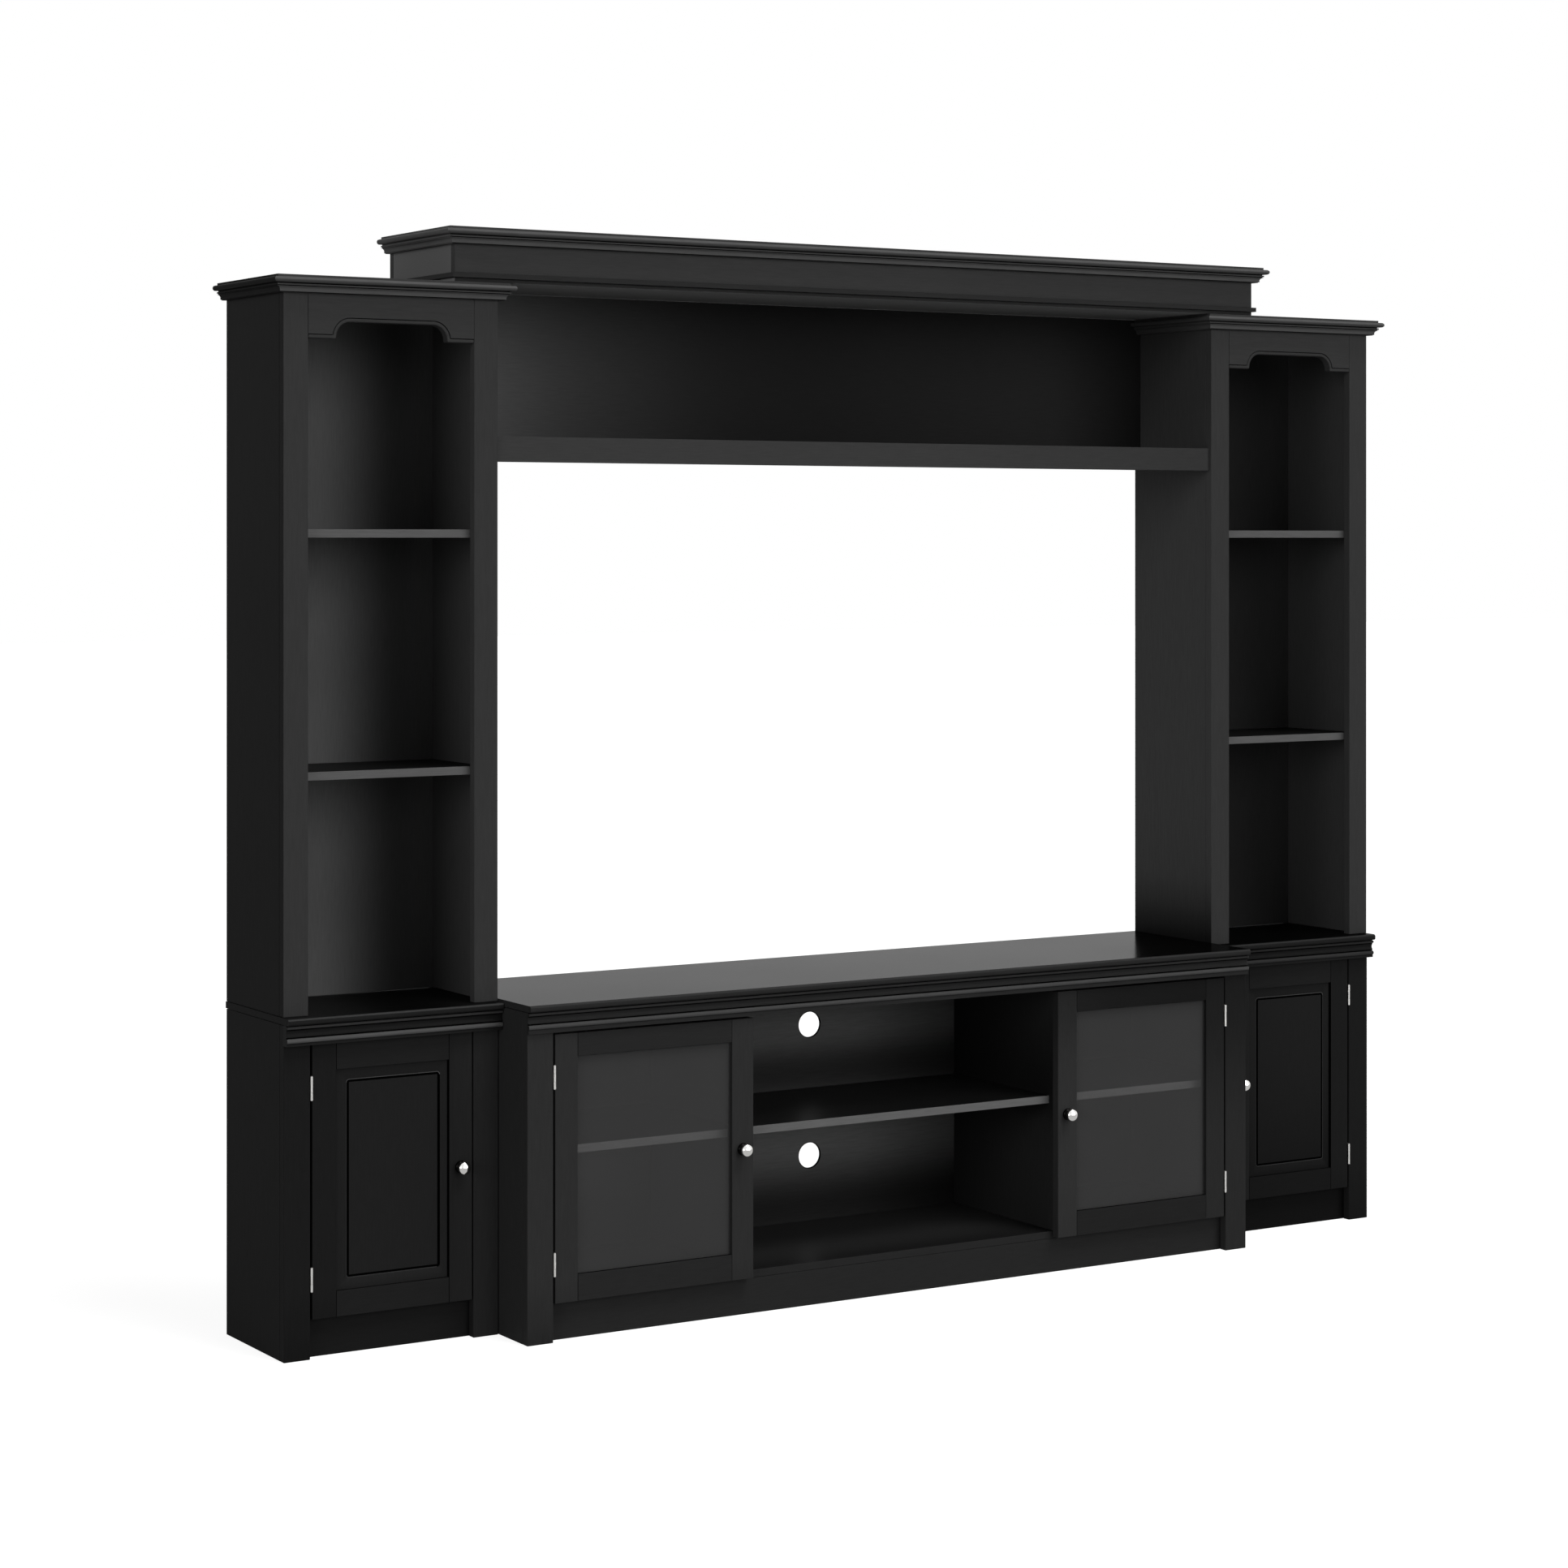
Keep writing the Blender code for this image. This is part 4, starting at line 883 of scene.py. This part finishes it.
def make_door(door, rails):
    """A door's stiles and rails, and its halves of the hinges."""
    node = f"{door}_frame"
    low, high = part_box(node)
    glazed = door.startswith("glass")
    fill_low, fill_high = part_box(f"{door}_pane" if glazed else f"{door}_panel")
    front = high.y - FRAME_THICK
    depths = (front, fill_low.y - GAP, fill_high.y + GAP, high.y)
    window_x = (fill_low.x + SLOT_DEPTH, fill_high.x - SLOT_DEPTH)
    window_z = (low.z + rails[0], high.z - rails[1])
    rail_x = (window_x[0] + RAIL_GAP, window_x[1] - RAIL_GAP)
    left_part, right_part, top_part, bottom_part = DOOR_PARTS[door]
    dark = PAINTS[("painted_shade_line", "X")]
    pieces = []
    for name, outer, inner, upright in (("left_stile", window_x[0] - DOOR_STILE, window_x[0], left_part),
                                        ("right_stile", window_x[1] + DOOR_STILE, window_x[1], right_part)):
        outline = slotted(outer, inner, *depths)
        pieces.append(run(f"{door}_{name}", door, outline, "Z", low.z, high.z, PAINTS[(upright, "Z")], EDGE))
    # Painted shade on a panel door's right stile, along the faces that look into the window
    if not glazed:
        side_paint(pieces[-1], "X", (-1,), dark)
    for name, outer, inner, cross in (("bottom_rail", low.z, window_z[0], bottom_part),
                                      ("top_rail", high.z, window_z[1], top_part)):
        outline = [(depth, level) for level, depth in slotted(outer, inner, *depths)]
        pieces.append(run(f"{door}_{name}", door, outline, "X", *rail_x, PAINTS[(cross, "X")], EDGE))
        # Painted shade on the rails' ends at the joints, and on the bottom rail's faces that look up
        side_paint(pieces[-1], "X", (-1, 1), dark)
        if name == "bottom_rail":
            side_paint(pieces[-1], "Z", (1,), dark)
    for piece in pieces + hinge_halves(door, 1 if low.x > 0 else -1, front):
        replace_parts(piece, node)


for label in ("left", "right"):
    make_door(f"glass_door_{label}", GLASS_RAILS)
    make_door(f"panel_door_{label}", PANEL_RAILS)


# Door panels: flat, with a groove routed round the field
PANEL_BORDER = 0.0195
PANEL_CORNER = 0.001
GROOVE_WIDTH = 0.0055
GROOVE_DEPTH = 0.0030
GROOVE_CORNER = 0.006
GROOVE_SLOPE = 0.0004
RIM = 0.0014
SHADE_WIDTH = 0.0018
# The groove's paints in the panel's slots, and where its far sides begin, as shares from the middle: painted
# highlights on the rim, brighter along the top, and painted shade in the groove
GROOVE_PAINTS = ("pier_right_bead", "painted_shade_line", "pier_left_bright")
RIM_HIGHLIGHT_SLOT, SHADE_SLOT, TOP_HIGHLIGHT_SLOT = 1, 2, 3
FAR_TOP = 0.35
FAR_RIGHT = 0.25


def corner_loop(bm, x_range, z_range, radius, y):
    """A rectangle with round corners, as a loop of vertices."""
    centres = ((x_range[1] - radius, z_range[1] - radius), (x_range[0] + radius, z_range[1] - radius),
               (x_range[0] + radius, z_range[0] + radius), (x_range[1] - radius, z_range[0] + radius))
    loop = []
    for turn, centre in enumerate(centres):
        corner = arc(centre, (radius, radius), 90 * turn, 90 * turn + 90, 4)
        loop += [bm.verts.new((x, y, z)) for x, z in corner]
    return loop


def make_panel(label, part, left, right, shaded_right):
    """A door's panel; left and right are the widths of its border."""
    door = f"panel_door_{label}"
    low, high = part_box(f"{door}_panel")
    bm = bmesh.new()

    def loop(extra, radius, y):
        """A loop further into the panel than its border, at a depth."""
        edges = SLOT_DEPTH + extra
        return corner_loop(bm, (low.x + edges + left, high.x - edges - right),
                           (low.z + edges + PANEL_BORDER, high.z - edges - PANEL_BORDER), radius, y)

    edge = SLOT_DEPTH - SHADE_WIDTH
    loops = [corner_loop(bm, (low.x, high.x), (low.z, high.z), PANEL_CORNER, y) for y in (high.y, low.y)]
    loops.append(corner_loop(bm, (low.x + edge, high.x - SLOT_DEPTH - SHADE_WIDTH),
                             (low.z + edge, high.z - edge), PANEL_CORNER, low.y))
    loops += [loop(0, GROOVE_CORNER, low.y), loop(RIM, GROOVE_CORNER - RIM, low.y + RIM / 2),
              loop(RIM + GROOVE_SLOPE, GROOVE_CORNER - RIM - GROOVE_SLOPE, low.y + GROOVE_DEPTH),
              loop(GROOVE_WIDTH - GROOVE_SLOPE, GROOVE_CORNER - GROOVE_WIDTH + GROOVE_SLOPE,
                   low.y + GROOVE_DEPTH),
              loop(GROOVE_WIDTH, GROOVE_CORNER - GROOVE_WIDTH, low.y)]
    rings = [join_loops(bm, near, far) for near, far in zip(loops, loops[1:])]
    bm.faces.new(loops[0])
    bm.faces.new(loops[-1])
    far_top = (low.z + high.z) / 2 + (high.z - low.z) * FAR_TOP
    far_right = (low.x + high.x) / 2 + (high.x - low.x) * FAR_RIGHT
    _, shade, _, rim, *groove = rings
    # Painted shade in the groove and along the window's right edge; painted highlights on the rim, and
    # painted shade on its right side where asked
    for face in shade + [face for wall in groove for face in wall]:
        face.material_index = SHADE_SLOT
    for face in rim:
        middle = face.calc_center_median()
        if middle.z > far_top:
            face.material_index = TOP_HIGHLIGHT_SLOT
        elif middle.x > far_right and shaded_right:
            face.material_index = SHADE_SLOT
        else:
            face.material_index = RIM_HIGHLIGHT_SLOT
    piece = finish_piece(bm, f"{door}_grooved_panel", door, PAINTS[(part, "Z")], 0)
    for name in GROOVE_PAINTS:
        piece.data.materials.append(PAINTS[(name, "Z")])
    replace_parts(piece, f"{door}_panel")


make_panel("left", "pier", 0.0210, 0.0160, True)
make_panel("right", "pier_right_panel", 0.0220, 0.0175, False)


# Knobs: a foot and stem in near-black metal, a painted dark reflection and shadow, with a bright head
KNOB_FOOT_SHARE = ((0.012, 0.92), (0.07, 0.94), (0.13, 0.92), (0.20, 0.80), (0.27, 0.58), (0.33, 0.42),
                   (0.44, 0.37))
KNOB_HEAD_SHARE = ((0.42, 0.37), (0.47, 0.62), (0.52, 0.84), (0.59, 0.96), (0.66, 1.0), (0.75, 0.97),
                   (0.84, 0.86), (0.92, 0.66), (0.97, 0.40), (0.999, 0.08))
KNOB_STEPS = 32
KNOB_ANGLE = 50


def turned(name, body, centre, profile, material):
    """A round form turned about an axis along Y; the profile is in reach and radius."""
    bm = bmesh.new()
    x, y, z = centre
    rings = [ring(bm, (x, y - reach, z), radius, KNOB_STEPS) for reach, radius in profile]
    for near, far in zip(rings, rings[1:]):
        join_loops(bm, near, far)
    bm.faces.new(rings[0])
    bm.faces.new(rings[-1])
    return finish_piece(bm, name, body, material, 0, KNOB_ANGLE)


for door in DOORS:
    node = f"{door}_knob"
    low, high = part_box(node)
    reach, radius = high.y - low.y, (high.x - low.x) / 2
    centre = ((low.x + high.x) / 2, high.y, (low.z + high.z) / 2)
    for name, shares, material in (("foot", KNOB_FOOT_SHARE, FOOT_DARK_REFLECTION), ("head", KNOB_HEAD_SHARE, CHROME)):
        profile = [(along * reach, across * radius) for along, across in shares]
        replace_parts(turned(f"{node}_{name}", door, centre, profile, material), node)


# Dark rings in the cable holes, painted shade, and how high the holes stand over the shelf and the deck
HOLE_RADIUS = 0.0265
RIM_OUTER = HOLE_RADIUS + 0.0002
RIM_INNER = HOLE_RADIUS - 0.0012
RIM_STEPS = 48
UPPER_HOLE_RISE = 0.1265
LOWER_HOLE_RISE = 0.130


def make_shade_ring(name, level):
    """A thin dark ring that lines a cable hole: painted shade."""
    low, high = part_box("console_back_panel")
    bm = bmesh.new()
    profile = ((RIM_OUTER, high.y), (RIM_OUTER, low.y), (RIM_INNER, low.y), (RIM_INNER, high.y))
    rings = [ring(bm, (0, y, level), radius, RIM_STEPS) for radius, y in profile]
    for near, far in zip(rings, rings[1:] + rings[:1]):
        join_loops(bm, near, far)
    finish_piece(bm, name, "carcass", PAINTS[("painted_shade_line", "Y")], 0)


make_shade_ring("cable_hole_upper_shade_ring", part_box("console_centre_shelf")[1].z + UPPER_HOLE_RISE)
make_shade_ring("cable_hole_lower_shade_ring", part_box("console_base")[1].z + LOWER_HOLE_RISE)


# Finishes of the CAD nodes that stay
for node, piece in NODES.items():
    if node.endswith("_pane"):
        material = GLASS
        piece.visible_shadow = False
    elif node.endswith("_hinge"):
        material = STEEL
    else:
        continue
    piece.data.materials.clear()
    piece.data.materials.append(material)


# Floor: its size and level, its grey, and its glow to the camera, in mirrors and as a light
FLOOR_SIZE = 40
FLOOR_LEVEL = -0.0005
FLOOR_GREY = 0.30
SEEN_GLOW = 0.70
MIRROR_GLOW = 0.12
PLAIN_GLOW = 0.20


def make_floor():
    """A pale floor that keeps the object's shadow."""
    mesh = bpy.data.meshes.new("floor")
    bm = bmesh.new()
    bmesh.ops.create_grid(bm, x_segments=1, y_segments=1, size=FLOOR_SIZE)
    bm.to_mesh(mesh)
    bm.free()
    floor = bpy.data.objects.new("floor", mesh)
    floor.location.z = FLOOR_LEVEL
    bpy.context.scene.collection.objects.link(floor)
    material = bpy.data.materials.new("floor_white")
    material.use_nodes = True
    nodes, links = material.node_tree.nodes, material.node_tree.links
    nodes.clear()
    output = nodes.new("ShaderNodeOutputMaterial")
    diffuse = nodes.new("ShaderNodeBsdfDiffuse")
    diffuse.inputs["Color"].default_value = (FLOOR_GREY, FLOOR_GREY, FLOOR_GREY, 1)
    glow = nodes.new("ShaderNodeEmission")
    glow.inputs["Color"].default_value = (1, 1, 1, 1)
    rays = nodes.new("ShaderNodeLightPath").outputs
    seen = combine(nodes, links, "MAXIMUM", rays["Is Camera Ray"], rays["Is Transmission Ray"])
    glossy = combine(nodes, links, "MULTIPLY", rays["Is Glossy Ray"], MIRROR_GLOW)
    level = combine(nodes, links, "MULTIPLY_ADD", seen, SEEN_GLOW, glossy)
    links.new(combine(nodes, links, "ADD", level, PLAIN_GLOW), glow.inputs["Strength"])
    total = nodes.new("ShaderNodeAddShader")
    links.new(diffuse.outputs["BSDF"], total.inputs[0])
    links.new(glow.outputs["Emission"], total.inputs[1])
    links.new(total.outputs["Shader"], output.inputs["Surface"])
    mesh.materials.append(material)


make_floor()


# World: white where it is seen, dimmer as a light
WORLD_LIGHT = 0.16
world = bpy.data.worlds.new("studio")
bpy.context.scene.world = world
world.use_nodes = True
nodes, links = world.node_tree.nodes, world.node_tree.links
background = nodes["Background"]
background.inputs["Color"].default_value = (1, 1, 1, 1)
rays = nodes.new("ShaderNodeLightPath").outputs
direct = combine(nodes, links, "MAXIMUM", rays["Is Camera Ray"], rays["Is Glossy Ray"])
seen = combine(nodes, links, "MAXIMUM", direct, rays["Is Transmission Ray"])
links.new(spread(nodes, links, seen, WORLD_LIGHT, 1.0), background.inputs["Strength"])


LAMP_DISTANCE = 6


def sun_light(name, azimuth, elevation, angle, strength):
    """A broad distant light; azimuth 0 faces the fronts and 90 comes from the right."""
    light = bpy.data.lights.new(name, "SUN")
    light.angle = math.radians(angle)
    light.energy = strength
    lamp = bpy.data.objects.new(name, light)
    level = math.cos(math.radians(elevation))
    towards = Vector((level * math.sin(math.radians(azimuth)), -level * math.cos(math.radians(azimuth)),
                      math.sin(math.radians(elevation))))
    lamp.rotation_euler = towards.to_track_quat("Z", "Y").to_euler()
    lamp.location = towards * LAMP_DISTANCE
    bpy.context.scene.collection.objects.link(lamp)


sun_light("key", 20, 10, 50, 1.9)
sun_light("side_fill", -64, 8, 30, 1.05)
sun_light("top", 33, 60, 30, 2.0)


# Camera
camera_data = bpy.data.cameras.new("camera")
camera_data.lens = CAMERA_LENS
camera_data.shift_y = CAMERA_SHIFT_Y
camera = bpy.data.objects.new("camera", camera_data)
camera.location = CAMERA_PLACE
camera.rotation_euler = (math.radians(90), 0, math.radians(-CAMERA_YAW))
bpy.context.scene.collection.objects.link(camera)
bpy.context.scene.camera = camera
bpy.context.scene.view_settings.view_transform = "Standard"
